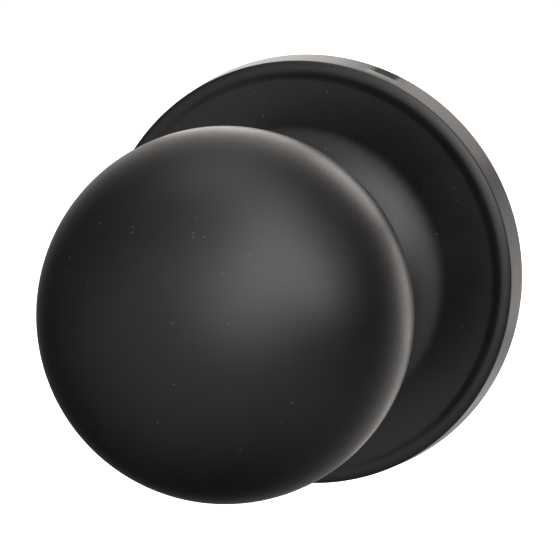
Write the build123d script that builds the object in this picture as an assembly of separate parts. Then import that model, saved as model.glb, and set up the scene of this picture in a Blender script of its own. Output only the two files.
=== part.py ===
from build123d import *
import math
import os

# Outside half of a passage door knob set: a ball knob on a round rose.
# The knob turns about the Y axis and faces -Y. The door face is the plane y = 0,
# so the ball and the rose stand at negative y and the chassis reaches into the door at positive y.
# Every turned profile below is a list of (radius, y) points, revolved about Y.

# Ball and neck
BALL_RADIUS = 26.2
BALL_WALL = 1.2
BALL_CENTRE_Y = -42.7
BALL_MOUTH_RADIUS = 11.0
NECK_RADIUS = 12.5
NECK_WAIST_RADIUS = 11.4
NECK_WAIST_Y = -16.6
NECK_TOP_RADIUS = 13.6
NECK_FOOT_Y = -10.0
NECK_STRAIGHT_Y = -13.6
NECK_SPIGOT_RADIUS = 10.9
NECK_SPIGOT_Y = -21.5

# Rose cover: a pressed shell with a rounded shoulder, a flat dish and a flare to the neck
ROSE_RADIUS = 33.35
ROSE_HEIGHT = 6.25
ROSE_SKIN = 0.8
SHOULDER_CENTRE_RADIUS = 31.3
SHOULDER_RADIUS = 2.0
SHOULDER_ANGLE = 45.0
DISH_RADIUS = 29.8
DISH_HEIGHT = 6.1
FLARE_START_RADIUS = 23.0
FLARE_CURVE_RADIUS = 7.0
FLARE_ANGLE = 48.65
COLLAR_RADIUS = 13.1
COLLAR_HEIGHT = 13.6

# Pry scoop: a shallow hollow in the cover's side wall for the tip of a screwdriver
SCOOP_ANGLE = 68.2
SCOOP_RADIUS = 5.5
SCOOP_SLOPE = 20.0
SCOOP_BACK_HEIGHT = 0.45
SCOOP_FRONT_HEIGHT = 3.2
SCOOP_BACKING = 0.6

# Base plate inside the cover, with the ring that centres it in the 54 mm door bore
PLATE_RADIUS = 30.4
PLATE_THICKNESS = 1.6
BORE_RING_RADIUS = 26.7
BORE_RING_WALL = 1.5
BORE_RING_DEPTH = 4.0
HUB_RADIUS = 12.0
HUB_HEIGHT = 8.0

# Bearing bush
BUSH_RADIUS = 10.0
BUSH_FLANGE_RADIUS = 11.9
BUSH_FLANGE_HEIGHT = 1.2
RUNNING_CLEARANCE = 0.06

# Shank, spindle and cross pin
SHANK_RADIUS = 8.0
SHANK_FLAT = 7.0
SHANK_FLAT_START_Y = 0.3
SHANK_END_Y = 15.0
SHANK_SHOULDER_Y = -22.5
TENON_RADIUS = 6.0
TENON_END_Y = -24.6
TENON_HEAD_RADIUS = 7.4
TENON_HEAD_END_Y = -25.8
SPINDLE_SIDE = 7.94
SPINDLE_START_Y = -15.5
SPINDLE_END_Y = 58.0
SPINDLE_CHAMFER = 0.9
SOCKET_SIDE = 8.1
SOCKET_START_Y = -16.0
PIN_RADIUS = 1.5
PIN_LENGTH = 15.2
PIN_Y = -12.5

# Liner that carries the ball on the shank
LINER_THICKNESS = 2.0
LINER_WINDOW_RADIUS = 2.2
LINER_WINDOW_PITCH = 12.0
LINER_WINDOWS = 6

# Spring cage behind the base plate
CAGE_RADIUS = 15.0
CAGE_WALL = 1.2
CAGE_DEPTH = 11.0
CAGE_FLOOR = 1.4
CAGE_EAR_RADIUS = 3.4
CAGE_EAR_PITCH = 18.2
CAGE_EAR_THICKNESS = 2.0
STOP_INNER_RADIUS = 12.4
STOP_DEPTH = 2.4
SPRING_RIB_HALF_ANGLE = 7.0

# Drive cam on the shank: the finger carries the spring, the lug meets the stops
TURN_LIMIT = 60.0
STOP_SLACK = 1.5
CAM_RADIUS = 12.1
CAM_START_Y = 0.4
CAM_THICKNESS = 1.8
CAM_LUG_RADIUS = 13.4
CAM_LUG_HALF_ANGLE = 15.0
CAM_FINGER_INNER_RADIUS = 10.7
CAM_FINGER_HALF_ANGLE = 8.0
CAM_FINGER_END_Y = 9.2

# Return spring
SPRING_RADIUS = 9.6
SPRING_WIRE_RADIUS = 0.6
SPRING_START_Y = 3.1
SPRING_PITCH = 1.65
SPRING_TURNS = 3
SPRING_LEG_ANGLE = 13.5
SPRING_LEG_RADIUS = 13.3

# Washers and retaining ring
WASHER_RADIUS = 11.2
THRUST_WASHER_START_Y = 11.05
THRUST_WASHER_THICKNESS = 0.8
RING_GROOVE_RADIUS = 7.3
RING_RADIUS = 10.2
RING_START_Y = 11.95
RING_THICKNESS = 1.0
RING_GAP_ANGLE = 70.0
SPRING_WASHER_THICKNESS = 0.3
SPRING_WASHER_RISE = 0.4

# Mounting posts
POST_SPACING = 38.0
POST_RADIUS = 3.2
POST_END_Y = 22.0
POST_THREAD_RADIUS = 1.72
POST_THREAD_DEPTH = 17.0
POST_HEAD_RADIUS = 4.4
POST_HEAD_HEIGHT = 0.9

# Cover clips and their rivets
CLIP_COUNT = 3
CLIP_FIRST_ANGLE = 0.0
CLIP_WIDTH = 7.0
CLIP_THICKNESS = 0.5
CLIP_FOOT_INNER = 23.8
CLIP_LEG_RADIUS = 31.9
CLIP_LEG_HEIGHT = 4.2
RIVET_RADIUS = 1.2
RIVET_HEAD_RADIUS = 2.1
RIVET_HEAD_HEIGHT = 0.7
RIVET_PITCH = 28.8

# Cage screws
SCREW_RADIUS = 1.5
SCREW_HEAD_RADIUS = 2.8
SCREW_HEAD_HEIGHT = 1.7
SCREW_SLOT_WIDTH = 0.8
SCREW_SLOT_DEPTH = 0.8


def turned(points):
    """Solid of revolution about Y from a closed list of (radius, y) points."""
    return revolve(make_face(Polyline(*points, close=True)), Axis.Y)


def drum(radius, start_y, end_y):
    """Plain cylinder on the Y axis between two depths."""
    return turned([(0, start_y), (radius, start_y), (radius, end_y), (0, end_y)])


def tube(outer, inner, start_y, end_y):
    """Plain tube on the Y axis between two depths."""
    return turned([(inner, start_y), (outer, start_y), (outer, end_y), (inner, end_y)])


def block(centre_x, centre_z, width, height, start_y, end_y):
    """Box between two depths, centred on a point of the XZ plane."""
    middle_y = (start_y + end_y) / 2
    return Pos(centre_x, middle_y, centre_z) * Box(width, end_y - start_y, height)


def about_knob_axis(shape, angle):
    """Turns a shape about Y, from +X towards +Z for a positive angle."""
    return Rot(0, -angle, 0) * shape


def sector(outer, inner, start_y, end_y, middle_angle, half_angle):
    """Piece of a tube, centred on an angle measured from +X towards +Z."""
    profile = make_face(
        Polyline((inner, start_y), (outer, start_y), (outer, end_y), (inner, end_y), close=True)
    )
    piece = revolve(profile, Axis.Y, 2 * half_angle)
    return about_knob_axis(piece, middle_angle + half_angle)


def ball_depth(radius):
    """Y of the back of the ball's outside at a radius from the knob axis."""
    return BALL_CENTRE_Y + math.sqrt(BALL_RADIUS**2 - radius**2)


def knob_shell():
    """Hollow ball, open at the back for the neck."""
    ball = Sphere(BALL_RADIUS) - Sphere(BALL_RADIUS - BALL_WALL)
    mouth = drum(BALL_MOUTH_RADIUS, BALL_CENTRE_Y, 0)
    return Pos(0, BALL_CENTRE_Y, 0) * (Rot(90, 0, 0) * ball) - mouth


def knob_neck():
    """Collar between the rose and the ball, with a spigot into the ball's mouth."""
    seat_y = ball_depth(NECK_TOP_RADIUS)
    bore = SHANK_RADIUS + 0.02
    outline = [
        Line((bore, NECK_FOOT_Y), (NECK_RADIUS, NECK_FOOT_Y)),
        Line((NECK_RADIUS, NECK_FOOT_Y), (NECK_RADIUS, NECK_STRAIGHT_Y)),
        ThreePointArc(
            (NECK_RADIUS, NECK_STRAIGHT_Y),
            (NECK_WAIST_RADIUS, NECK_WAIST_Y),
            (NECK_TOP_RADIUS, seat_y),
        ),
        Line((NECK_TOP_RADIUS, seat_y), (NECK_TOP_RADIUS, NECK_SPIGOT_Y)),
        Line((NECK_TOP_RADIUS, NECK_SPIGOT_Y), (bore, NECK_SPIGOT_Y)),
        Line((bore, NECK_SPIGOT_Y), (bore, NECK_FOOT_Y)),
    ]
    collar = revolve(make_face(outline), Axis.Y)
    outside_ball = collar - Pos(0, BALL_CENTRE_Y, 0) * Sphere(BALL_RADIUS)
    spigot = tube(NECK_SPIGOT_RADIUS, bore, NECK_SPIGOT_Y, NECK_WAIST_Y)
    return outside_ball + spigot


def knob_liner():
    """Disc inside the ball that joins the ball to the shank."""
    front_y = SHANK_SHOULDER_Y - LINER_THICKNESS
    disc = drum(BALL_RADIUS, front_y, SHANK_SHOULDER_Y)
    disc -= drum(TENON_RADIUS + 0.02, front_y, SHANK_SHOULDER_Y)
    for index in range(LINER_WINDOWS):
        window = Pos(LINER_WINDOW_PITCH, 0, 0) * drum(LINER_WINDOW_RADIUS, front_y, SHANK_SHOULDER_Y)
        disc -= about_knob_axis(window, 360 * index / LINER_WINDOWS)
    inside_ball = Pos(0, BALL_CENTRE_Y, 0) * Sphere(BALL_RADIUS - BALL_WALL - 0.02)
    return disc & inside_ball


def knob_shank():
    """Steel shank: staked tenon, round bearing length, two flats and a square socket."""
    shank = turned([
        (0, TENON_HEAD_END_Y),
        (TENON_HEAD_RADIUS - 0.6, TENON_HEAD_END_Y),
        (TENON_HEAD_RADIUS, TENON_END_Y),
        (TENON_RADIUS, TENON_END_Y),
        (TENON_RADIUS, SHANK_SHOULDER_Y),
        (SHANK_RADIUS, SHANK_SHOULDER_Y),
        (SHANK_RADIUS, RING_START_Y - 0.05),
        (RING_GROOVE_RADIUS, RING_START_Y - 0.05),
        (RING_GROOVE_RADIUS, RING_START_Y + RING_THICKNESS + 0.05),
        (SHANK_RADIUS, RING_START_Y + RING_THICKNESS + 0.05),
        (SHANK_RADIUS, SHANK_END_Y - 0.6),
        (SHANK_RADIUS - 0.6, SHANK_END_Y),
        (0, SHANK_END_Y),
    ])
    shank -= block(0, 0, SOCKET_SIDE, SOCKET_SIDE, SOCKET_START_Y, SHANK_END_Y)
    for side in (-1, 1):
        middle_x = side * (SHANK_FLAT + SHANK_RADIUS / 2)
        shank -= block(middle_x, 0, SHANK_RADIUS, 3 * SHANK_RADIUS, SHANK_FLAT_START_Y, SHANK_END_Y)
    return shank - pin_blank(SHANK_RADIUS * 3)


def pin_blank(length):
    """Cylinder across the shank, along X, where the cross pin goes."""
    return Pos(0, PIN_Y, 0) * (Rot(0, 90, 0) * Cylinder(PIN_RADIUS, length))


def spindle_pin():
    """Cross pin through the shank and the spindle."""
    return pin_blank(PIN_LENGTH)


def spindle():
    """Square spindle that turns the latch, chamfered at its free end."""
    bar = block(0, 0, SPINDLE_SIDE, SPINDLE_SIDE, SPINDLE_START_Y, SPINDLE_END_Y)
    bar = chamfer(bar.faces().sort_by(Axis.Y)[-1].edges(), SPINDLE_CHAMFER)
    return bar - pin_blank(SHANK_RADIUS * 3)


def shoulder_point(radius, angle):
    """Point on the rim's shoulder; angle 0 is where it meets the flat rim."""
    turn = math.radians(angle)
    centre_y = SHOULDER_RADIUS - ROSE_HEIGHT
    return (SHOULDER_CENTRE_RADIUS + radius * math.sin(turn), centre_y - radius * math.cos(turn))


def flare_point(radius, angle):
    """Point on the flare's arc; angle 0 is where it leaves the dish."""
    turn = math.radians(angle)
    centre_y = -DISH_HEIGHT - FLARE_CURVE_RADIUS
    return (FLARE_START_RADIUS - radius * math.sin(turn), centre_y + radius * math.cos(turn))


def skin_of_rose(rim, flare, dish_y, back_r, collar):
    """One side of the cover's section, from the back edge over the rim to the collar."""
    wall = Line((back_r, 0), shoulder_point(rim, SHOULDER_ANGLE))
    shoulder = ThreePointArc(wall @ 1, shoulder_point(rim, SHOULDER_ANGLE / 2), shoulder_point(rim, 0))
    land = Spline(shoulder @ 1, (DISH_RADIUS, dish_y), tangents=[(-1, 0), (-1, 0)])
    dish = Line(land @ 1, flare_point(flare, 0))
    sweep_up = ThreePointArc(dish @ 1, flare_point(flare, FLARE_ANGLE / 2), flare_point(flare, FLARE_ANGLE))
    cone = Line(sweep_up @ 1, collar)
    return [wall, shoulder, land, dish, sweep_up, cone]


def scoop_tool(growth):
    """Cylinder that leans into the cover's side wall, deepest at the scoop's front edge."""
    lean = math.radians(SCOOP_SLOPE)
    centre_x = ROSE_RADIUS + SCOOP_RADIUS * math.cos(lean)
    centre_y = -SCOOP_BACK_HEIGHT - SCOOP_RADIUS * math.sin(lean)
    rod = Rot(0, 0, -SCOOP_SLOPE) * (Rot(90, 0, 0) * Cylinder(SCOOP_RADIUS + growth, 6 * SCOOP_RADIUS))
    front_y = -SCOOP_FRONT_HEIGHT - growth / 2
    reach = block(ROSE_RADIUS, 0, 4 * ROSE_SKIN, 2 * SCOOP_RADIUS, front_y, 0)
    return about_knob_axis(Pos(centre_x, centre_y, 0) * rod & reach, SCOOP_ANGLE)


def rose_cover():
    """Pressed rose cover with a pry scoop in its side wall."""
    lean = math.radians(FLARE_ANGLE)
    collar = (COLLAR_RADIUS, -COLLAR_HEIGHT)
    inner_collar = (COLLAR_RADIUS + ROSE_SKIN * math.sin(lean), ROSE_SKIN * math.cos(lean) - COLLAR_HEIGHT)
    outside = skin_of_rose(SHOULDER_RADIUS, FLARE_CURVE_RADIUS, -DISH_HEIGHT, ROSE_RADIUS, collar)
    inside = skin_of_rose(
        SHOULDER_RADIUS - ROSE_SKIN,
        FLARE_CURVE_RADIUS + ROSE_SKIN,
        ROSE_SKIN - DISH_HEIGHT,
        ROSE_RADIUS - ROSE_SKIN,
        inner_collar,
    )
    ends = [Line((ROSE_RADIUS - ROSE_SKIN, 0), (ROSE_RADIUS, 0)), Line(collar, inner_collar)]
    cover = revolve(make_face(outside + inside + ends), Axis.Y)
    inner_wall = tube(ROSE_RADIUS - ROSE_SKIN, ROSE_RADIUS - 2.4 * ROSE_SKIN, 2 * ROSE_SKIN - ROSE_HEIGHT, 0)
    backing = scoop_tool(SCOOP_BACKING) & inner_wall
    return cover + backing - scoop_tool(0)


def rose_base_plate():
    """Base plate on the door, with its hub, bore ring and fastener holes."""
    plate = tube(PLATE_RADIUS, BUSH_RADIUS + 0.02, -PLATE_THICKNESS, 0)
    hub = tube(HUB_RADIUS, BUSH_RADIUS + 0.02, -HUB_HEIGHT, -PLATE_THICKNESS)
    ring = tube(BORE_RING_RADIUS, BORE_RING_RADIUS - BORE_RING_WALL, 0, BORE_RING_DEPTH)
    plate = plate + hub + ring
    for side in (-1, 1):
        post_hole = Pos(side * POST_SPACING / 2, 0, 0) * drum(POST_THREAD_RADIUS + 0.8, -PLATE_THICKNESS, 0)
        screw_hole = Pos(0, 0, side * CAGE_EAR_PITCH) * drum(SCREW_RADIUS, -PLATE_THICKNESS, 0)
        plate -= post_hole
        plate -= screw_hole
    for angle in clip_angles():
        rivet_hole = Pos(RIVET_PITCH, 0, 0) * drum(RIVET_RADIUS, -PLATE_THICKNESS, 0)
        plate -= about_knob_axis(rivet_hole, angle)
    return plate


def bearing_bush():
    """Flanged nylon bush in the hub; the shank turns in it."""
    bore = SHANK_RADIUS + RUNNING_CLEARANCE
    front_y = -HUB_HEIGHT - BUSH_FLANGE_HEIGHT
    return turned([
        (bore, front_y),
        (BUSH_FLANGE_RADIUS, front_y),
        (BUSH_FLANGE_RADIUS, -HUB_HEIGHT),
        (BUSH_RADIUS, -HUB_HEIGHT),
        (BUSH_RADIUS, 0),
        (bore, 0),
    ])


def mounting_post(side):
    """Internally threaded post staked into the base plate; side is -1 or 1."""
    post = turned([
        (0, -PLATE_THICKNESS - POST_HEAD_HEIGHT),
        (POST_HEAD_RADIUS - 0.4, -PLATE_THICKNESS - POST_HEAD_HEIGHT),
        (POST_HEAD_RADIUS, -PLATE_THICKNESS - 0.4),
        (POST_HEAD_RADIUS, -PLATE_THICKNESS),
        (POST_THREAD_RADIUS + 0.78, -PLATE_THICKNESS),
        (POST_THREAD_RADIUS + 0.78, 0),
        (POST_RADIUS, 0),
        (POST_RADIUS, POST_END_Y - 0.4),
        (POST_RADIUS - 0.4, POST_END_Y),
        (POST_THREAD_RADIUS, POST_END_Y),
        (POST_THREAD_RADIUS, POST_END_Y - POST_THREAD_DEPTH),
        (0, POST_END_Y - POST_THREAD_DEPTH - 1),
    ])
    return Pos(side * POST_SPACING / 2, 0, 0) * post


def spring_cage():
    """Cup that holds the return spring, with two screw ears, stops and the spring's rib."""
    floor_y = CAGE_DEPTH - CAGE_FLOOR
    inside = CAGE_RADIUS - CAGE_WALL
    cage = tube(CAGE_RADIUS, inside, 0, CAGE_DEPTH)
    cage += tube(inside, SHANK_RADIUS + RUNNING_CLEARANCE, floor_y, CAGE_DEPTH)
    stop_half_angle = 180 - TURN_LIMIT - CAM_LUG_HALF_ANGLE - STOP_SLACK
    cage += sector(inside + 0.1, STOP_INNER_RADIUS, 0, STOP_DEPTH, 90, stop_half_angle)
    cage += sector(inside + 0.1, STOP_INNER_RADIUS, 0, floor_y, 90, SPRING_RIB_HALF_ANGLE)
    for side in (-1, 1):
        centre_z = side * CAGE_EAR_PITCH
        ear = Pos(0, 0, centre_z) * drum(CAGE_EAR_RADIUS, 0, CAGE_EAR_THICKNESS)
        middle_z = side * (CAGE_RADIUS + CAGE_EAR_PITCH) / 2
        web = block(0, middle_z, 2 * CAGE_EAR_RADIUS, CAGE_EAR_PITCH - CAGE_RADIUS + 1, 0, CAGE_EAR_THICKNESS)
        cage += ear + web
    for side in (-1, 1):
        cage -= Pos(0, 0, side * CAGE_EAR_PITCH) * drum(SCREW_RADIUS + 0.1, 0, CAGE_EAR_THICKNESS)
    return cage


def cage_screws():
    """Two slotted screws that hold the cage to the base plate."""
    screws = []
    head_y = CAGE_EAR_THICKNESS
    for side in (-1, 1):
        screw = turned([
            (0, -PLATE_THICKNESS),
            (SCREW_RADIUS, -PLATE_THICKNESS),
            (SCREW_RADIUS, head_y),
            (SCREW_HEAD_RADIUS, head_y),
            (SCREW_HEAD_RADIUS, head_y + SCREW_HEAD_HEIGHT - 0.4),
            (SCREW_HEAD_RADIUS - 0.6, head_y + SCREW_HEAD_HEIGHT),
            (0, head_y + SCREW_HEAD_HEIGHT),
        ])
        slot_y = head_y + SCREW_HEAD_HEIGHT - SCREW_SLOT_DEPTH
        screw -= block(0, 0, 3 * SCREW_HEAD_RADIUS, SCREW_SLOT_WIDTH, slot_y, slot_y + 2 * SCREW_SLOT_DEPTH)
        screws.append(Pos(0, 0, side * CAGE_EAR_PITCH) * screw)
    return Compound(children=screws)


def drive_cam():
    """Plate driven by the shank's flats, with the spring finger on top and the stop lug below."""
    end_y = CAM_START_Y + CAM_THICKNESS
    cam = drum(CAM_RADIUS, CAM_START_Y, end_y)
    cam += sector(CAM_LUG_RADIUS, CAM_RADIUS - 1, CAM_START_Y, end_y, -90, CAM_LUG_HALF_ANGLE)
    inner = CAM_FINGER_INNER_RADIUS
    cam += sector(CAM_RADIUS, inner, CAM_START_Y, CAM_FINGER_END_Y, 90, CAM_FINGER_HALF_ANGLE)
    hole = drum(SHANK_RADIUS + 0.03, CAM_START_Y, end_y)
    hole &= block(0, 0, 2 * SHANK_FLAT + 0.06, 4 * SHANK_RADIUS, CAM_START_Y, end_y)
    return cam - hole


def return_spring():
    """Torsion spring whose two legs straddle the cage's rib and the cam's finger."""
    start_angle = 90 + SPRING_LEG_ANGLE
    turns = SPRING_TURNS - 2 * SPRING_LEG_ANGLE / 360
    coil = Helix(SPRING_PITCH, turns * SPRING_PITCH, SPRING_RADIUS)
    coil = Pos(0, SPRING_START_Y, 0) * (Rot(-90, 0, 0) * coil)
    coil = about_knob_axis(coil, start_angle)
    wire = Plane(coil @ 0, z_dir=coil % 0) * Circle(SPRING_WIRE_RADIUS)
    spring = sweep(wire, path=coil, is_frenet=True)
    for end in (coil @ 0, coil @ 1):
        outwards = Vector(end.X, 0, end.Z).normalized()
        foot = end - outwards * SPRING_WIRE_RADIUS * 0.5
        length = SPRING_LEG_RADIUS - SPRING_RADIUS + SPRING_WIRE_RADIUS * 0.5
        leg = extrude(Plane(foot, z_dir=outwards) * Circle(SPRING_WIRE_RADIUS * 0.98), length)
        spring = spring + leg
    return spring


def retaining_ring():
    """Open ring in the shank's groove, gap towards +X."""
    start_y = RING_START_Y
    end_y = RING_START_Y + RING_THICKNESS
    half_angle = 180 - RING_GAP_ANGLE / 2
    return sector(RING_RADIUS, RING_GROOVE_RADIUS + 0.02, start_y, end_y, 180, half_angle)


def thrust_washer():
    """Flat washer between the cage floor and the retaining ring."""
    end_y = THRUST_WASHER_START_Y + THRUST_WASHER_THICKNESS
    return tube(WASHER_RADIUS, SHANK_RADIUS + 0.05, THRUST_WASHER_START_Y, end_y)


def spring_washer():
    """Conical washer between the bush flange and the neck, which takes up the end play."""
    back_y = -HUB_HEIGHT - BUSH_FLANGE_HEIGHT - 0.04
    inner = SHANK_RADIUS + 0.1
    return turned([
        (inner, back_y),
        (WASHER_RADIUS, back_y - SPRING_WASHER_RISE),
        (WASHER_RADIUS, back_y - SPRING_WASHER_RISE - SPRING_WASHER_THICKNESS),
        (inner, back_y - SPRING_WASHER_THICKNESS),
    ])


def clip_angles():
    """Angles of the cover clips round the base plate."""
    return [CLIP_FIRST_ANGLE + 90 + 360 * index / CLIP_COUNT for index in range(CLIP_COUNT)]


def cover_clips():
    """Spring clips on the base plate that grip the inside of the cover's wall."""
    foot_y = -PLATE_THICKNESS
    top_y = foot_y - CLIP_THICKNESS
    foot_middle = (CLIP_FOOT_INNER + CLIP_LEG_RADIUS) / 2
    foot_length = CLIP_LEG_RADIUS - CLIP_FOOT_INNER
    foot = block(foot_middle, 0, foot_length, CLIP_WIDTH, top_y, foot_y)
    leg = block(CLIP_LEG_RADIUS - CLIP_THICKNESS / 2, 0, CLIP_THICKNESS, CLIP_WIDTH, -CLIP_LEG_HEIGHT, top_y)
    hole = Pos(RIVET_PITCH, 0, 0) * drum(RIVET_RADIUS, top_y, foot_y)
    clip = foot + leg - hole
    return Compound(children=[about_knob_axis(clip, angle) for angle in clip_angles()])


def clip_rivets():
    """Rivets that hold the clips on the base plate."""
    head_y = -PLATE_THICKNESS - CLIP_THICKNESS
    rivet = turned([
        (0, head_y - RIVET_HEAD_HEIGHT),
        (RIVET_HEAD_RADIUS - 0.5, head_y - RIVET_HEAD_HEIGHT),
        (RIVET_HEAD_RADIUS, head_y),
        (RIVET_RADIUS, head_y),
        (RIVET_RADIUS, 0),
        (0, 0),
    ])
    rivet = Pos(RIVET_PITCH, 0, 0) * rivet
    return Compound(children=[about_knob_axis(rivet, angle) for angle in clip_angles()])


def main():
    nodes = {
        "knob_shell": knob_shell(),
        "knob_neck": knob_neck(),
        "knob_liner": knob_liner(),
        "knob_shank": knob_shank(),
        "spindle": spindle(),
        "spindle_pin": spindle_pin(),
        "drive_cam": drive_cam(),
        "retaining_ring": retaining_ring(),
        "thrust_washer": thrust_washer(),
        "spring_washer": spring_washer(),
        "rose_cover": rose_cover(),
        "rose_base_plate": rose_base_plate(),
        "bearing_bush": bearing_bush(),
        "mounting_post_left": mounting_post(-1),
        "mounting_post_right": mounting_post(1),
        "spring_cage": spring_cage(),
        "cage_screws": cage_screws(),
        "return_spring": return_spring(),
        "cover_clips": cover_clips(),
        "clip_rivets": clip_rivets(),
    }
    os.makedirs("parts", exist_ok=True)
    for name, shape in nodes.items():
        export_step(shape, f"parts/{name}.step")


main()
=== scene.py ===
import math

import bmesh
import bpy
import numpy as np
from bpy.props import FloatProperty, FloatVectorProperty, IntProperty, PointerProperty
from mathutils import Matrix, Vector


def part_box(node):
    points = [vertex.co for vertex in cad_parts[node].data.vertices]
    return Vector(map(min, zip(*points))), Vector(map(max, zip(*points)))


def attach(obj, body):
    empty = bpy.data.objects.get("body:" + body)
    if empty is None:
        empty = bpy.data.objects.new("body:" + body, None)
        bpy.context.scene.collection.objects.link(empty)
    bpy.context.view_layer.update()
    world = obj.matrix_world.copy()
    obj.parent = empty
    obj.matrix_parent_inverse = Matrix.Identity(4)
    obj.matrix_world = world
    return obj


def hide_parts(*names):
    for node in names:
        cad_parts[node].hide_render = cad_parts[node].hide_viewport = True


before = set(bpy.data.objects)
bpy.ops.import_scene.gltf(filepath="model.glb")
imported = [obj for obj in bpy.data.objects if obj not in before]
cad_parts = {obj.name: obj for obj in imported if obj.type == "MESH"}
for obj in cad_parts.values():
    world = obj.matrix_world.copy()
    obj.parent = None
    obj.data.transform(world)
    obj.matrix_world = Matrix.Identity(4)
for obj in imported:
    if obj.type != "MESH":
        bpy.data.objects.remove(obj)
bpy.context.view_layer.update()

bl_info = {
    "name": "Ball door knob",
    "version": (1, 0, 0),
    "blender": (4, 5, 0),
    "location": "View3D > Sidebar > Door knob",
    "description": "Builds the finish pieces of a ball knob on a round rose around its packed frame",
    "category": "Add Mesh",
}

MM = 0.001
FULL_TURN = 2 * math.pi
CLIP_TURNS = (90, 210, 330)
SCREW_TURNS = (90, 270)
SMALL_ROUND = 48             # steps round small round parts
CUT_OVER = 1.0 * MM          # how far a cutting tool reaches past what it cuts
PRESS_GAP = 0.02 * MM        # between parts that are pressed, staked or sprung together
RUNNING_GAP = 0.06 * MM      # between the turning shank and what it runs in

# The knob turns about the Y axis and faces -Y; the door's face is the plane y = 0.
# A turned profile is a list of (radius, y) points in metres; rounded() also takes a corner radius with each.


# ---------------------------------------------------------------- places read from the frame

def low(node):
    """Lowest corner of a part of the frame."""
    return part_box(node)[0]


def high(node):
    """Highest corner of a part of the frame."""
    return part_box(node)[1]


def radius_of(node):
    """Outer radius of a part that is turned about the knob axis."""
    return high(node).z


def depths(node):
    """Lowest and highest Y of a part of the frame."""
    return low(node).y, high(node).y


def middle(node):
    """Middle of a part of the frame, as (x, z)."""
    centre = (low(node) + high(node)) / 2
    return (centre.x, centre.z)


# ---------------------------------------------------------------- sizes and colours a user would change

def length(name, description, default):
    """A size in metres."""
    return FloatProperty(
        name=name, description=description, default=default, unit="LENGTH", precision=5, min=0.0
    )


def angle(name, description, default):
    """An angle, given in degrees."""
    return FloatProperty(name=name, description=description, default=math.radians(default), subtype="ANGLE")


def degrees(name, description, default):
    """A number of degrees."""
    return FloatProperty(name=name, description=description, default=default, min=0.0, max=360.0)


def paint(name, description, default):
    """A colour."""
    return FloatVectorProperty(
        name=name, description=description, default=default, subtype="COLOR", size=3, min=0.0, max=1.0
    )


class KnobBallSizes(bpy.types.PropertyGroup):
    """Sizes of the ball and its neck"""

    radius: length("Ball radius", "Outside radius of the ball", radius_of("knob_shell"))
    wall: length("Ball wall", "Thickness of the ball's wall", 1.2 * MM)
    mouth: length("Mouth radius", "Radius of the ball's opening at the back", 11.0 * MM)
    neck_foot: length("Neck foot radius", "Radius of the neck where it leaves the rose", 12.5 * MM)
    neck_waist: length("Neck waist radius", "Smallest radius of the neck", 11.4 * MM)
    neck_top: length("Neck top radius", "Radius of the neck where it meets the ball", 13.6 * MM)
    segments: IntProperty(name="Segments", description="Steps round the ball", default=256, min=32)


class KnobRoseSizes(bpy.types.PropertyGroup):
    """Sizes of the rose cover"""

    radius: length("Back radius", "Radius of the back edge", 33.35 * MM)
    height: length("Height", "Height of the rim", 6.25 * MM)
    skin: length("Skin", "Thickness of the pressed metal", 0.8 * MM)
    shoulder_centre: length("Rim radius", "Radius of the rim's highest line", 31.3 * MM)
    shoulder: length("Shoulder radius", "Radius of the rounded shoulder outside the rim", 2.0 * MM)
    shoulder_angle: angle("Shoulder angle", "Steepness of the shoulder where it meets the wall", 45.0)
    edge: length("Edge rounding", "Radius of the edge between shoulder and wall", 0.3 * MM)
    dish_radius: length("Dish radius", "Radius of the flat dish inside the rim", 29.8 * MM)
    dish_height: length("Dish height", "Height of the flat dish", 6.1 * MM)
    flare_start: length("Flare start", "Radius where the dish starts to rise to the neck", 23.0 * MM)
    flare_curve: length("Flare curve", "Radius of the curve at the foot of the flare", 7.0 * MM)
    flare_angle: angle("Flare angle", "Steepness of the flare", 48.65)
    collar_radius: length("Collar radius", "Radius of the opening for the neck", 13.1 * MM)
    scoop_angle: angle("Scoop angle", "Place of the pry scoop round the rose, from +X towards +Z", 68.2)
    scoop_depth: length("Scoop depth", "Depth of the pry scoop at its front edge", 0.7 * MM)
    scoop_back: length("Scoop back", "Distance of the scoop from the back edge", 0.45 * MM)
    scoop_front: length("Scoop front", "Distance of the scoop's front edge from the back edge", 3.2 * MM)
    scoop_core: length("Scoop core", "Half width of the scoop's flat middle", 1.1 * MM)
    scoop_fade: length("Scoop fade", "Width of each faded end of the scoop", 1.5 * MM)
    segments: IntProperty(name="Segments", description="Steps round the rose", default=288, min=32)


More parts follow.
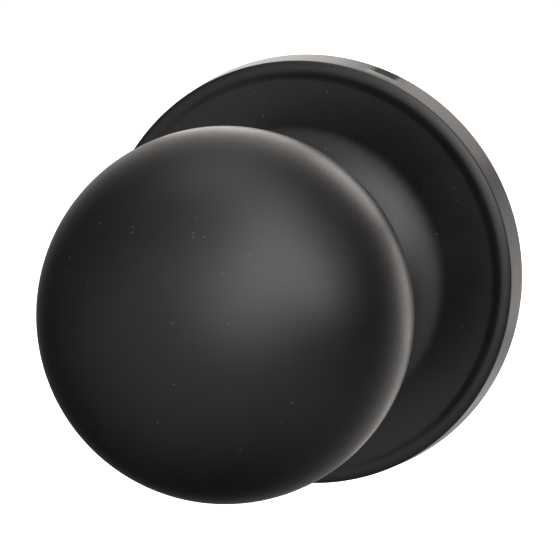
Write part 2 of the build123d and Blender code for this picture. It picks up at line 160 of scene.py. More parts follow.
class KnobChassisSizes(bpy.types.PropertyGroup):
    """Sizes of the parts behind the rose"""

    plate_thickness: length("Plate thickness", "Thickness of the base plate", 1.6 * MM)
    ring_radius: length("Bore ring radius", "Outside radius of the ring that centres the plate", 26.7 * MM)
    ring_wall: length("Bore ring wall", "Thickness of the ring that centres the plate", 1.5 * MM)
    hub_radius: length("Hub radius", "Outside radius of the hub", 12.0 * MM)
    bush_radius: length("Bush radius", "Outside radius of the bush in the hub", 10.0 * MM)
    shank_radius: length("Shank radius", "Radius of the shank", 8.0 * MM)
    shank_flat: length("Shank flats", "Distance of the shank's flats from its axis", 7.0 * MM)
    flat_start: length("Flat start", "Depth at which the shank's flats start", 0.3 * MM)
    groove_radius: length("Groove radius", "Radius of the groove for the retaining ring", 7.3 * MM)
    socket_side: length("Socket side", "Side of the shank's square socket", 8.1 * MM)
    tenon_radius: length("Tenon radius", "Radius of the shank's tenon", 6.0 * MM)
    tenon_head: length("Tenon head radius", "Radius of the staked tenon head", 7.4 * MM)
    window_pitch: length("Window pitch", "Distance of the liner's windows from the knob axis", 12.0 * MM)
    window_radius: length("Window radius", "Radius of the liner's windows", 2.2 * MM)
    cage_wall: length("Cage wall", "Thickness of the spring cage's wall", 1.2 * MM)
    cage_floor: length("Cage floor", "Thickness of the spring cage's floor", 1.4 * MM)
    ear_radius: length("Ear radius", "Radius of the cage's screw ears", 3.4 * MM)
    ear_pitch: length("Ear pitch", "Distance of the screws from the knob axis", 18.2 * MM)
    ear_thickness: length("Ear thickness", "Thickness of the cage's screw ears", 2.0 * MM)
    stop_radius: length("Stop radius", "Inner radius of the turn stops and the rib", 12.4 * MM)
    stop_depth: length("Stop depth", "Depth of the turn stops", 2.4 * MM)
    stop_half_angle: degrees("Stop half angle", "Half of the arc that the stops cover", 103.5)
    rib_half_angle: degrees("Rib half angle", "Half of the arc that the spring's rib covers", 7.0)
    cam_thickness: length("Cam thickness", "Thickness of the drive cam's plate", 1.8 * MM)
    lug_half_angle: degrees("Lug half angle", "Half of the arc that the cam's lug covers", 15.0)
    finger_inner: length("Finger radius", "Inner radius of the cam's finger", 10.7 * MM)
    finger_half_angle: degrees("Finger half angle", "Half of the arc that the cam's finger covers", 8.0)
    ring_half_angle: degrees("Ring half angle", "Half of the arc of the retaining ring", 145.0)
    screw_radius: length("Screw radius", "Radius of the cage screws", 1.5 * MM)
    slot_width: length("Slot width", "Width and depth of the screws' slots", 0.8 * MM)
    post_radius: length("Post radius", "Radius of the mounting posts", 3.2 * MM)
    post_neck: length("Post neck", "Radius of the posts in the base plate", 2.5 * MM)
    thread_radius: length("Thread radius", "Inner radius of the posts' threads", 1.72 * MM)
    thread_depth: length("Thread depth", "Depth of the posts' threads", 17.0 * MM)
    clip_foot: length("Clip foot", "Distance of the clips' inner ends from the knob axis", 23.8 * MM)
    clip_leg: length("Clip leg", "Distance of the clips' legs from the knob axis", 31.9 * MM)
    clip_width: length("Clip width", "Width of the clips", 7.0 * MM)
    clip_sheet: length("Clip sheet", "Thickness of the clips", 0.5 * MM)
    rivet_pitch: length("Rivet pitch", "Distance of the rivets from the knob axis", 28.8 * MM)
    rivet_radius: length("Rivet radius", "Radius of the rivets", 1.2 * MM)
    rivet_head: length("Rivet head", "Radius of the rivets' heads", 2.1 * MM)
    wire_radius: length("Wire radius", "Radius of the return spring's wire", 0.6 * MM)
    coil_radius: length("Coil radius", "Radius of the return spring's coil", 9.6 * MM)
    leg_reach: length("Leg reach", "Distance of the spring legs' ends from the knob axis", 13.3 * MM)
    leg_angle: degrees("Leg angle", "Angle between a spring leg and the rib's middle", 13.5)
    spring_turns: IntProperty(name="Spring turns", description="Turns of the return spring", default=3, min=1)


class KnobFinish(bpy.types.PropertyGroup):
    """Colours and gloss of the finishes"""

    coat_colour: paint("Coat", "Colour of the black coating", (0.0060, 0.0058, 0.0057))
    coat_roughness: FloatProperty(
        name="Coat roughness", description="Roughness of the black coating", default=0.3, min=0.0, max=1.0
    )
    zinc_colour: paint("Zinc plate", "Colour of zinc plated steel", (0.60, 0.59, 0.55))
    cast_colour: paint("Die casting", "Colour of the cast spring cage", (0.38, 0.39, 0.41))
    steel_colour: paint("Turned steel", "Colour of plain turned steel", (0.50, 0.50, 0.51))
    spring_colour: paint("Spring steel", "Colour of tempered spring steel", (0.15, 0.16, 0.19))
    brass_colour: paint("Brass", "Colour of the brass washer", (0.72, 0.52, 0.22))
    nylon_colour: paint("Nylon", "Colour of the nylon bush", (0.80, 0.78, 0.70))


class KnobStudio(bpy.types.PropertyGroup):
    """Camera and lights"""

    camera_place: FloatVectorProperty(
        name="Camera place",
        description="Where the camera stands",
        default=(0.10404, -0.36081, 0.05901),
        subtype="TRANSLATION",
        unit="LENGTH",
    )
    camera_forward: FloatVectorProperty(
        name="Camera direction",
        description="Direction that the camera looks in",
        default=(-0.28565, 0.94495, -0.15961),
        subtype="DIRECTION",
    )
    lens: FloatProperty(name="Lens", description="Focal length in millimetres", default=157.4, min=1.0)
    floor_drop: length("Floor drop", "How far the floor lies under the knob axis", 0.30)


# ---------------------------------------------------------------- mesh tools

def rounded(points, steps=5):
    """Closed profile with its corners rounded; a point is (radius, y) or (radius, y, corner radius)."""
    profile = []
    count = len(points)
    for index, point in enumerate(points):
        here = Vector(point[:2])
        corner = point[2] if len(point) > 2 else 0.0
        if corner <= 0.0:
            profile.append(here)
            continue
        before = Vector(points[index - 1][:2]) - here
        after = Vector(points[(index + 1) % count][:2]) - here
        back = before.normalized() * min(corner, 0.48 * before.length)
        ahead = after.normalized() * min(corner, 0.48 * after.length)
        for step in range(steps + 1):
            t = step / steps
            profile.append(here + back * (1 - t) ** 2 + ahead * t**2)
    return profile


def smooth_curve(points, start_slope, end_slope, steps):
    """Smooth curve with continuous curvature through points, between two end directions."""
    points = np.array(points, float)
    gaps = np.linalg.norm(np.diff(points, axis=0), axis=1)
    count = len(points)
    system = np.zeros((count, count))
    sides = np.zeros((count, 2))
    system[0, 0] = system[-1, -1] = 1
    sides[0] = np.array(start_slope) / np.linalg.norm(start_slope)
    sides[-1] = np.array(end_slope) / np.linalg.norm(end_slope)
    for i in range(1, count - 1):
        before, after = gaps[i - 1], gaps[i]
        system[i, i - 1] = after
        system[i, i] = 2 * (before + after)
        system[i, i + 1] = before
        rise_before = (points[i] - points[i - 1]) / before
        rise_after = (points[i + 1] - points[i]) / after
        sides[i] = 3 * (after * rise_before + before * rise_after)
    slopes = np.linalg.solve(system, sides)
    curve = []
    for i in range(count - 1):
        for step in range(steps):
            t = step / steps
            h = gaps[i]
            curve.append(
                points[i] * (2 * t**3 - 3 * t**2 + 1)
                + slopes[i] * h * (t**3 - 2 * t**2 + t)
                + points[i + 1] * (3 * t**2 - 2 * t**3)
                + slopes[i + 1] * h * (t**3 - t**2)
            )
    curve.append(points[-1])
    return [Vector(point) for point in curve]


def circle_through(first, middle, last, steps):
    """Points on the arc through three points."""
    a, b, c = Vector(first), Vector(middle), Vector(last)
    d = 2 * (a.x * (b.y - c.y) + b.x * (c.y - a.y) + c.x * (a.y - b.y))
    aa, bb, cc = a.length_squared, b.length_squared, c.length_squared
    centre = Vector((
        (aa * (b.y - c.y) + bb * (c.y - a.y) + cc * (a.y - b.y)) / d,
        (aa * (c.x - b.x) + bb * (a.x - c.x) + cc * (b.x - a.x)) / d,
    ))
    start = math.atan2(a.y - centre.y, a.x - centre.x)
    sweep = math.atan2(c.y - centre.y, c.x - centre.x) - start
    sweep = (sweep + math.pi) % FULL_TURN - math.pi
    half = math.atan2(b.y - centre.y, b.x - centre.x) - start
    half = (half + math.pi) % FULL_TURN - math.pi
    if sweep * half < 0:
        sweep -= math.copysign(FULL_TURN, sweep)
    radius = (a - centre).length
    return [
        centre + radius * Vector((math.cos(start + sweep * t), math.sin(start + sweep * t)))
        for t in np.linspace(0, 1, steps)
    ]


def arc_points(centre, radius, first, last, steps):
    """Points on an arc; angles in radians from outwards, towards the back."""
    return [
        Vector((centre[0] + radius * math.cos(a), centre[1] + radius * math.sin(a)))
        for a in np.linspace(first, last, steps + 1)
    ]


def mesh_object(name, build):
    """New object whose mesh is made by build(bm), with outward normals and smooth shading."""
    bm = bmesh.new()
    build(bm)
    bmesh.ops.remove_doubles(bm, verts=bm.verts, dist=1e-7)
    bmesh.ops.recalc_face_normals(bm, faces=bm.faces)
    mesh = bpy.data.meshes.new(name)
    bm.to_mesh(mesh)
    bm.free()
    mesh.shade_smooth()
    piece = bpy.data.objects.new(name, mesh)
    bpy.context.scene.collection.objects.link(piece)
    return piece


def add_swept(bm, profile, angles, centre=(0.0, 0.0), whole=True):
    """Adds the solid that a closed profile sweeps about an axis along Y through centre (x, z)."""
    grid = []
    for turn in angles:
        c, s = math.cos(turn), math.sin(turn)
        grid.append([bm.verts.new((centre[0] + r * c, y, centre[1] + r * s)) for r, y in profile])
    rows = len(profile)
    columns = len(angles)
    for column in range(columns if whole else columns - 1):
        here, there = grid[column], grid[(column + 1) % columns]
        for row in range(rows):
            below = (row + 1) % rows
            if profile[row][0] > 1e-9 or profile[below][0] > 1e-9:
                bm.faces.new((here[row], here[below], there[below], there[row]))
    if not whole:
        bm.faces.new(grid[0])
        bm.faces.new(grid[-1])


def add_turned(bm, profile, segments, centre=(0.0, 0.0)):
    """Adds a solid of revolution."""
    add_swept(bm, profile, [FULL_TURN * step / segments for step in range(segments)], centre)


def turned(name, profile, segments=128, centre=(0.0, 0.0)):
    """Turned piece about the knob axis, or about a parallel axis through centre (x, z)."""
    return mesh_object(name, lambda bm: add_turned(bm, profile, segments, centre))


def add_skin(bm, rings):
    """Adds the closed solid through rings of as many vertices each."""
    bm.faces.new(rings[0])
    bm.faces.new(rings[-1])
    count = len(rings[0])
    for here, there in zip(rings, rings[1:]):
        for i in range(count):
            j = (i + 1) % count
            bm.faces.new((here[i], here[j], there[j], there[i]))


def turned_copies(name, profile, centres):
    """The same turned shape about several axes, as one piece."""
    def build(bm):
        for centre in centres:
            add_turned(bm, profile, SMALL_ROUND, centre)

    return mesh_object(name, build)


def add_loft(bm, stations):
    """Adds the solid through closed (x, z) outlines of equal length, each given with its y."""
    add_skin(bm, [[bm.verts.new((x, y, z)) for x, z in outline] for y, outline in stations])


def slab(name, outline, start_y, end_y):
    """Flat piece between two depths."""
    return mesh_object(name, lambda bm: add_loft(bm, [(start_y, outline), (end_y, outline)]))


def polar(radius, turn):
    """Point (x, z) at an angle in degrees, from +X towards +Z."""
    return (radius * math.cos(math.radians(turn)), radius * math.sin(math.radians(turn)))


def sector_outline(outer, inner, middle, half, steps=48):
    """Outline of a piece of a ring, as (x, z) points; the angles are in degrees."""
    turns = np.linspace(middle - half, middle + half, steps)
    return [polar(outer, turn) for turn in turns] + [polar(inner, turn) for turn in turns[::-1]]


def box_outline(width, height, centre=(0.0, 0.0), corner=0.0, steps=4):
    """Rectangle with rounded corners, as (x, z) points."""
    points = []
    half_w, half_h = width / 2 - corner, height / 2 - corner
    for index, (sx, sz) in enumerate(((1, 1), (-1, 1), (-1, -1), (1, -1))):
        for step in range(steps + 1 if corner else 1):
            turn = (index + (step / steps if corner else 0.5)) * math.pi / 2
            points.append((
                centre[0] + sx * half_w + corner * math.cos(turn),
                centre[1] + sz * half_h + corner * math.sin(turn),
            ))
    return points


def bevelled(piece, width, segments=3, least_turn=35.0):
    """Rounds a piece's edges that turn by more than an angle in degrees, and evens out its shading."""
    bevel = piece.modifiers.new("edge rounding", "BEVEL")
    bevel.width = width
    bevel.segments = segments
    bevel.limit_method = "ANGLE"
    bevel.angle_limit = math.radians(least_turn)
    even_shading(piece)
    return piece


def even_shading(piece):
    """Large faces lead the shading of the small rounded ones beside them."""
    weighted = piece.modifiers.new("even shading", "WEIGHTED_NORMAL")
    weighted.keep_sharp = True
    weighted.weight = 90
    return piece


def boolean(piece, tool, operation):
    """Combines a piece with a tool, and removes the tool."""
    combined = piece.modifiers.new("combined", "BOOLEAN")
    combined.operation = operation
    combined.solver = "EXACT"
    combined.object = tool
    settle(piece)
    bpy.data.objects.remove(tool)
    return piece


def cut(piece, cutter):
    """Takes the cutter out of the piece."""
    return boolean(piece, cutter, "DIFFERENCE")


def join(piece, other):
    """Fuses the other piece into the first."""
    return boolean(piece, other, "UNION")


def drilled(piece, holes):
    """Drills round holes along Y; a hole is (centre, radius, start y, end y)."""
    def build(bm):
        for centre, radius, start_y, end_y in holes:
            section = [(0.0, start_y), (radius, start_y), (radius, end_y), (0.0, end_y)]
            add_turned(bm, section, SMALL_ROUND, centre)

    return cut(piece, mesh_object("drill", build))


def laid_across(piece, y):
    """Turns a piece made about the knob axis so that it lies along X at a depth."""
    piece.data.transform(Matrix.Translation((0.0, y, 0.0)) @ Matrix.Rotation(-math.pi / 2, 4, "Z"))
    return piece


def crossed(piece, radius, reach, y):
    """Drills a round hole along X at a depth."""
    section = [(0.0, -reach), (radius, -reach), (radius, reach), (0.0, reach)]
    return cut(piece, laid_across(turned("drill", section, SMALL_ROUND), y))


def add_thread(piece, centre, radius, depth, pitch, start_y, end_y):
    """Raises or sinks a helical thread on the finely divided wall of a turned piece."""
    on_wall = 0.02 * MM
    for vertex in piece.data.vertices:
        x, y, z = vertex.co.x - centre[0], vertex.co.y, vertex.co.z - centre[1]
        wall = math.hypot(x, z)
        if abs(wall - radius) > on_wall or not start_y < y < end_y:
            continue
        phase = (y / pitch - math.atan2(z, x) / FULL_TURN) % 1.0
        runout = min(1.0, (y - start_y) / pitch, (end_y - y) / pitch)
        growth = 1.0 + depth * (1.0 - abs(2.0 * phase - 1.0)) * runout / wall
        vertex.co.x = centre[0] + x * growth
        vertex.co.z = centre[1] + z * growth


def add_wire(bm, path, radius, sides=20):
    """Adds a round wire along a path."""
    path = [Vector(point) for point in path]
    across = None
    rings = []
    for index, point in enumerate(path):
        ahead = (path[min(index + 1, len(path) - 1)] - path[max(index - 1, 0)]).normalized()
        across = (across or Vector((0.0, 1.0, 0.0))).cross(ahead).cross(ahead).normalized() * -1.0
        up = ahead.cross(across)
        rings.append([
            bm.verts.new(point + radius * (across * math.cos(turn) + up * math.sin(turn)))
            for turn in np.linspace(0.0, FULL_TURN, sides, endpoint=False)
        ])
    add_skin(bm, rings)


def settle(piece):
    """Writes a piece's modifiers into its mesh."""
    graph = bpy.context.evaluated_depsgraph_get()
    graph.update()
    mesh = bpy.data.meshes.new_from_object(piece.evaluated_get(graph))
    piece.modifiers.clear()
    piece.data = mesh
    mesh.shade_smooth()
    return piece


def fitted(piece, body, node, slot_name):
    """Gives a piece its finish and its place in the frame."""
    piece.data.materials.clear()
    piece.data.materials.append(finish_named(slot_name))
    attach(piece, body)
    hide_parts(node)
    return piece


# ---------------------------------------------------------------- finishes

# Sockets of a Mix node that mixes colours; other sockets share their names, so they go by number.
MIX_COLOURS = (6, 7)
MIX_RESULT = 2


class FinishTree:
    """A material's node tree, built from left to right."""

    def __init__(self, name):
        self.material = bpy.data.materials.new(name)
        self.material.use_nodes = True
        self.nodes = self.material.node_tree.nodes
        self.links = self.material.node_tree.links
        self.shader = self.nodes["Principled BSDF"]
        self.place = self.nodes.new("ShaderNodeTexCoord").outputs["Object"]

    def link(self, source, socket):
        """Joins an output to an input."""
        self.links.new(source, socket)

    def stretched(self, scale):
        """The piece's coordinates, stretched along the axes."""
        mapping = self.nodes.new("ShaderNodeMapping")
        mapping.inputs["Scale"].default_value = scale
        self.link(self.place, mapping.inputs["Vector"])
        return mapping.outputs["Vector"]

    def noise(self, scale, detail=4.0, roughness=0.5, place=None, distortion=0.0):
        """Cloudy noise, 0 to 1."""
        node = self.nodes.new("ShaderNodeTexNoise")
        node.inputs["Scale"].default_value = scale
        node.inputs["Detail"].default_value = detail
        node.inputs["Roughness"].default_value = roughness
        node.inputs["Distortion"].default_value = distortion
        self.link(place or self.place, node.inputs["Vector"])
        return node.outputs["Fac"]

    def cells(self, scale):
        """Distance to the nearest of scattered points, and a colour drawn for that point."""
        node = self.nodes.new("ShaderNodeTexVoronoi")
        node.inputs["Scale"].default_value = scale
        self.link(self.place, node.inputs["Vector"])
        return node.outputs

    def ranged(self, value, from_low, from_high, to_low, to_high, smooth=False):
        """Maps a value's range to another."""
        node = self.nodes.new("ShaderNodeMapRange")
        node.interpolation_type = "SMOOTHSTEP" if smooth else "LINEAR"
        node.inputs["From Min"].default_value = from_low
        node.inputs["From Max"].default_value = from_high
        node.inputs["To Min"].default_value = to_low
        node.inputs["To Max"].default_value = to_high
        self.link(value, node.inputs["Value"])
        return node.outputs["Result"]

    def spread(self, noise, to_low, to_high):
        """Maps the range that most of a noise lies in to another."""
        return self.ranged(noise, 0.3, 0.7, to_low, to_high)

    def sums(self, operation, first, second):
        """Arithmetic on two values; the second may be a number."""
        node = self.nodes.new("ShaderNodeMath")
        node.operation = operation
        self.link(first, node.inputs[0])
        if isinstance(second, (int, float)):
            node.inputs[1].default_value = second
        else:
            self.link(second, node.inputs[1])
        return node.outputs["Value"]

    def mixed(self, factor, first, second):
        """Colour between two colours or outputs."""
        node = self.nodes.new("ShaderNodeMix")
        node.data_type = "RGBA"
        self.link(factor, node.inputs["Factor"])
        for colour, number in zip((first, second), MIX_COLOURS):
            socket = node.inputs[number]
            if isinstance(colour, bpy.types.NodeSocket):
                self.link(colour, socket)
            else:
                socket.default_value = (*colour, 1.0)
        return node.outputs[MIX_RESULT]

    def bump(self, height, distance, strength=1.0, under=None):
        """Bump from a height, over another bump if there is one."""
        node = self.nodes.new("ShaderNodeBump")
        node.inputs["Strength"].default_value = strength
        node.inputs["Distance"].default_value = distance
        self.link(height, node.inputs["Height"])
        if under is not None:
            self.link(under, node.inputs["Normal"])
        return node.outputs["Normal"]

    def finish(self, colour, roughness, normal):
        """Joins colour, roughness and normal to the shader."""
        self.link(colour, self.shader.inputs["Base Color"])
        self.link(roughness, self.shader.inputs["Roughness"])
        self.link(normal, self.shader.inputs["Normal"])
        return self.material


def tinted(colour, factor):
    """A colour made darker or lighter."""
    return tuple(min(1.0, channel * factor) for channel in colour)


def black_coat(name, finish):
    """Baked satin black coating: faint clouds, fine orange peel and a few specks of dust in it."""
    tree = FinishTree(name)
    base = tuple(finish.coat_colour)
    clouds = tree.noise(70.0, 3.0, 0.55)
    grain = tree.noise(1500.0, 3.0, 0.6)
    peel = tree.noise(900.0, 2.0, 0.5)
    speck_outputs = tree.cells(700.0)
    speck_size = tree.nodes.new("ShaderNodeSeparateColor")
    tree.link(speck_outputs["Color"], speck_size.inputs["Color"])
    chosen = tree.ranged(speck_size.outputs["Red"], 0.5, 1.0, 0.0, 0.085)
    near = tree.sums("SUBTRACT", chosen, speck_outputs["Distance"])
    speck = tree.ranged(near, 0.0, 0.02, 0.0, 1.0)
    cloudy = tree.mixed(tree.spread(clouds, 0.0, 1.0), tinted(base, 0.7), tinted(base, 1.3))
    colour = tree.mixed(speck, cloudy, (0.12, 0.12, 0.115))
    roughness = tree.sums(
        "ADD",
        tree.spread(clouds, finish.coat_roughness - 0.045, finish.coat_roughness + 0.045),
        tree.spread(grain, -0.015, 0.015),
    )
    normal = tree.bump(peel, 0.002 * MM, 0.35)
    normal = tree.bump(speck, 0.03 * MM, 0.6, normal)
    tree.shader.inputs["IOR"].default_value = 1.5
    return tree.finish(colour, roughness, normal)


def brushed_metal(name, colour, roughness, brush):
    """Plated or plain metal: cloudy skin, fine scratches stretched by brush, and handling marks."""
    tree = FinishTree(name)
    clouds = tree.noise(120.0, 5.0, 0.6, distortion=0.4)
    scratches = tree.noise(900.0, 4.0, 0.7, tree.stretched(brush))
    spots = tree.noise(420.0, 2.0, 0.5)
    shade = tree.mixed(tree.spread(clouds, 0.0, 1.0), tinted(colour, 0.72), tinted(colour, 1.12))
    dull = tree.ranged(spots, 0.62, 0.75, 0.0, 0.5, True)
    shade = tree.mixed(dull, shade, tinted(colour, 0.6))
    roughness_out = tree.sums(
        "ADD",
        tree.spread(clouds, roughness - 0.05, roughness + 0.09),
        tree.ranged(scratches, 0.35, 0.65, -0.04, 0.06),
    )
    normal = tree.bump(scratches, 0.004 * MM, 0.5)
    normal = tree.bump(spots, 0.01 * MM, 0.3, normal)
    tree.shader.inputs["Metallic"].default_value = 1.0
    return tree.finish(shade, roughness_out, normal)


def cast_metal(name, colour):
    """Die-cast zinc: matt grey skin with a fine grain and darker flow clouds."""
    tree = FinishTree(name)
    clouds = tree.noise(160.0, 6.0, 0.65, distortion=0.8)
    grain = tree.noise(2600.0, 4.0, 0.7)
    pits = tree.cells(1300.0)
    shade = tree.mixed(tree.spread(clouds, 0.0, 1.0), tinted(colour, 0.75), tinted(colour, 1.15))
    roughness = tree.spread(grain, 0.42, 0.58)
    normal = tree.bump(grain, 0.02 * MM, 0.45)
    normal = tree.bump(pits["Distance"], 0.015 * MM, 0.25, normal)
    tree.shader.inputs["Metallic"].default_value = 0.9
    return tree.finish(shade, roughness, normal)


def moulded_nylon(name, colour):
    """Natural nylon: soft, slightly see-through white with a fine moulded grain."""
    tree = FinishTree(name)
    clouds = tree.noise(200.0, 3.0, 0.5)
    grain = tree.noise(3200.0, 3.0, 0.6)
    shade = tree.mixed(tree.spread(clouds, 0.0, 1.0), tinted(colour, 0.93), tinted(colour, 1.04))
    roughness = tree.spread(grain, 0.36, 0.5)
    normal = tree.bump(grain, 0.01 * MM, 0.4)
    tree.shader.inputs["Subsurface Weight"].default_value = 0.15
    tree.shader.inputs["Subsurface Radius"].default_value = (0.001, 0.001, 0.001)
    return tree.finish(shade, roughness, normal)


# Brushed finishes by slot: colour, how much it is darkened or lightened, roughness, stretch of the scratches.
BRUSHED_FINISHES = {
    "zinc_plated_steel": ("zinc_colour", 1.0, 0.30, (1.0, 1.0, 0.05)),
    "post_steel": ("zinc_colour", 0.95, 0.26, (0.1, 1.6, 0.1)),
    "screw_steel": ("steel_colour", 1.05, 0.25, (0.3, 1.0, 0.3)),
    "spring_steel": ("spring_colour", 1.0, 0.33, (1.0, 1.0, 1.0)),
    "shank_steel": ("steel_colour", 1.0, 0.27, (0.1, 1.8, 0.1)),
    "cam_steel": ("steel_colour", 0.92, 0.34, (0.06, 1.0, 1.0)),
    "spindle_steel": ("zinc_colour", 0.97, 0.30, (1.0, 0.03, 1.0)),
    "washer_brass": ("brass_colour", 1.0, 0.30, (0.1, 1.0, 0.1)),
}


def finish_named(slot_name):
    """The finish of a slot, made once, under a name that the frame's own materials don't use."""
    name = f"{slot_name}_surface"
    made = bpy.data.materials.get(name)
    if made:
        return made
    finish = bpy.context.scene.knob_finish
    if slot_name == "black_finish":
        return black_coat(name, finish)
    if slot_name == "cage_zinc":
        return cast_metal(name, tuple(finish.cast_colour))
    if slot_name == "nylon":
        return moulded_nylon(name, tuple(finish.nylon_colour))
    colour, factor, roughness, brush = BRUSHED_FINISHES[slot_name]
    return brushed_metal(name, tinted(getattr(finish, colour), factor), roughness, brush)


# ---------------------------------------------------------------- the black pieces

def ball_centre(ball):
    """Y of the ball's centre."""
    return low("knob_shell").y + ball.radius


class KNOB_OT_ball(bpy.types.Operator):
    """Hollow spun ball, open at the back for the neck"""

    bl_idname = "knob.ball"
    bl_label = "Ball"

    def execute(self, context):
        ball = context.scene.knob_ball
        centre = ball_centre(ball)
        rows = ball.segments // 2
        lip = 0.25 * MM

        def arc(radius, first, last, count):
            return [
                Vector((radius * math.sin(a), centre - radius * math.cos(a)))
                for a in np.linspace(first, last, count)
            ]

        mouth_out = math.pi - math.asin((ball.mouth + lip) / ball.radius)
        inner = ball.radius - ball.wall
        mouth_in = math.pi - math.asin((ball.mouth + lip) / inner)
        outside = arc(ball.radius, 0.0, mouth_out, rows)
        inside = arc(inner, mouth_in, 0.0, rows // 2)
        edge = [
            Vector((ball.mouth, outside[-1].y - lip)),
            Vector((ball.mouth, inside[0].y + lip)),
        ]
        piece = turned("ball", outside + edge + inside, ball.segments)
        fitted(piece, "knob", "knob_shell", "black_finish")
        return {"FINISHED"}


class KNOB_OT_neck(bpy.types.Operator):
    """Waisted collar between the rose and the ball"""

    bl_idname = "knob.neck"
    bl_label = "Neck"

    def execute(self, context):
        ball = context.scene.knob_ball
        chassis = context.scene.knob_chassis
        centre = ball_centre(ball)
        foot_y = high("knob_neck").y
        spigot_y = low("knob_neck").y
        straight_y = foot_y - 3.6 * MM
        waist_y = foot_y - 6.6 * MM
        seat_y = centre + math.sqrt(ball.radius**2 - ball.neck_top**2)
        waist = circle_through(
            (ball.neck_foot, straight_y), (ball.neck_waist, waist_y), (ball.neck_top, seat_y), 24
        )
        seat = []
        for radius in np.linspace(ball.neck_top - 0.2 * MM, ball.mouth, 6):
            seat.append(Vector((radius, centre + math.sqrt((ball.radius + PRESS_GAP) ** 2 - radius**2))))
        spigot = ball.mouth - 0.1 * MM
        bore = chassis.shank_radius + PRESS_GAP
        lower = rounded([
            (bore, spigot_y, 0.3 * MM),
            (bore, foot_y, 0.3 * MM),
            (ball.neck_foot, foot_y, 0.5 * MM),
            (ball.neck_foot, straight_y + 0.1 * MM),
        ])
        upper = [Vector((spigot, seat[-1].y)), Vector((spigot, spigot_y))]
        piece = turned("neck", lower + waist + seat + upper, 192)
        even_shading(piece)
        fitted(piece, "knob", "knob_neck", "black_finish")
        return {"FINISHED"}


def rose_side(rose, inset, wall_heights):
    """One side of the cover's section, from the back edge over the rim to the flare; inset is 0 outside."""
    rim_centre = (rose.shoulder_centre, rose.shoulder - rose.height)
    flare_centre = (rose.flare_start, -rose.dish_height - rose.flare_curve)
    steepest = rose.shoulder_angle - math.pi / 2
    shoulder = arc_points(rim_centre, rose.shoulder - inset, steepest, -math.pi / 2, 18)
    back = Vector((rose.radius - inset, 0.0))
    wall = [back + (shoulder[0] - back) * (height / -shoulder[0].y) for height in wall_heights]
    edge = rounded([wall[-1], (*shoulder[0], rose.edge), shoulder[4]], 8)[1:-1]
    dish_y = inset - rose.dish_height
    land = smooth_curve([shoulder[-1], (rose.dish_radius, dish_y)], (-1, 0), (-1, 0), 12)
    dish = [Vector((r, dish_y)) for r in np.linspace(rose.dish_radius, rose.flare_start, 12)]
    flare = arc_points(
        flare_centre, rose.flare_curve + inset, math.pi / 2, math.pi / 2 + rose.flare_angle, 28
    )
    return wall + edge + shoulder[4:] + land[1:-1] + dish + flare[1:]


def rose_profile(rose):
    """Closed section of the rose cover."""
    collar = Vector((rose.collar_radius, low("rose_cover").y))
    lean = Vector((math.sin(rose.flare_angle), math.cos(rose.flare_angle)))
    hem = 0.3 * MM
    scoop = list(np.linspace(rose.scoop_back, rose.scoop_front - 0.06 * MM, 16)) + [rose.scoop_front]
    outside = rose_side(rose, 0.0, [hem] + scoop + [4.6 * MM])
    inside = rose_side(rose, rose.skin, [hem] + scoop + [4.4 * MM])
    back = [
        Vector((rose.radius - rose.skin, 0.0)),
        Vector((rose.radius - hem, 0.0)),
        Vector((rose.radius - 0.55 * hem, -0.07 * hem)),
        Vector((rose.radius - 0.2 * hem, -0.3 * hem)),
        Vector((rose.radius - 0.12 * hem, -0.6 * hem)),
    ]
    lip = [
        collar,
        collar + lean * 0.4 * rose.skin - Vector((0.12 * MM, 0.0)),
        collar + lean * rose.skin,
    ]
    return back + outside + lip + inside[::-1]


def press_scoop(rose, piece):
    """Presses the pry scoop into the cover's side wall: deepest at its front edge, faded at its ends."""
    out = Vector((math.cos(rose.scoop_angle), 0.0, math.sin(rose.scoop_angle)))
    along = Vector((-out.z, 0.0, out.x))
    for vertex in piece.data.vertices:
        place = vertex.co
        height = -place.y
        side = abs(place.dot(along))
        in_reach = place.dot(out) > 0.0 and side < rose.scoop_core + rose.scoop_fade
        if not in_reach or not rose.scoop_back < height < rose.scoop_front - 0.01 * MM:
            continue
        if Vector((place.x, place.z)).length < rose.shoulder_centre:
            continue
        fade = min(1.0, max(0.0, (rose.scoop_core + rose.scoop_fade - side) / rose.scoop_fade))
        ramp = (height - rose.scoop_back) / (rose.scoop_front - rose.scoop_back)
        vertex.co -= out * rose.scoop_depth * ramp * fade**2 * (3 - 2 * fade)


class KNOB_OT_rose(bpy.types.Operator):
    """Pressed rose cover with its rounded rim, flat dish, flare and pry scoop"""

    bl_idname = "knob.rose"
    bl_label = "Rose cover"

    def execute(self, context):
        rose = context.scene.knob_rose
        reach = (rose.scoop_core + rose.scoop_fade) / rose.radius
        turns = np.linspace(rose.scoop_angle + reach, rose.scoop_angle - reach + FULL_TURN, rose.segments)
        fine = np.linspace(rose.scoop_angle - reach, rose.scoop_angle + reach, 40)
        piece = mesh_object(
            "rose", lambda bm: add_swept(bm, rose_profile(rose), list(fine) + list(turns[1:-1]))
        )
        press_scoop(rose, piece)
        fitted(piece, "rose", "rose_cover", "black_finish")
        return {"FINISHED"}


# ---------------------------------------------------------------- the chassis behind the rose

def ring_profile(outer, inner, start_y, end_y, edge):
    """Closed section of a plain ring with rounded edges."""
    corners = ((inner, start_y), (outer, start_y), (outer, end_y), (inner, end_y))
    return rounded([(*corner, edge) for corner in corners], 4)


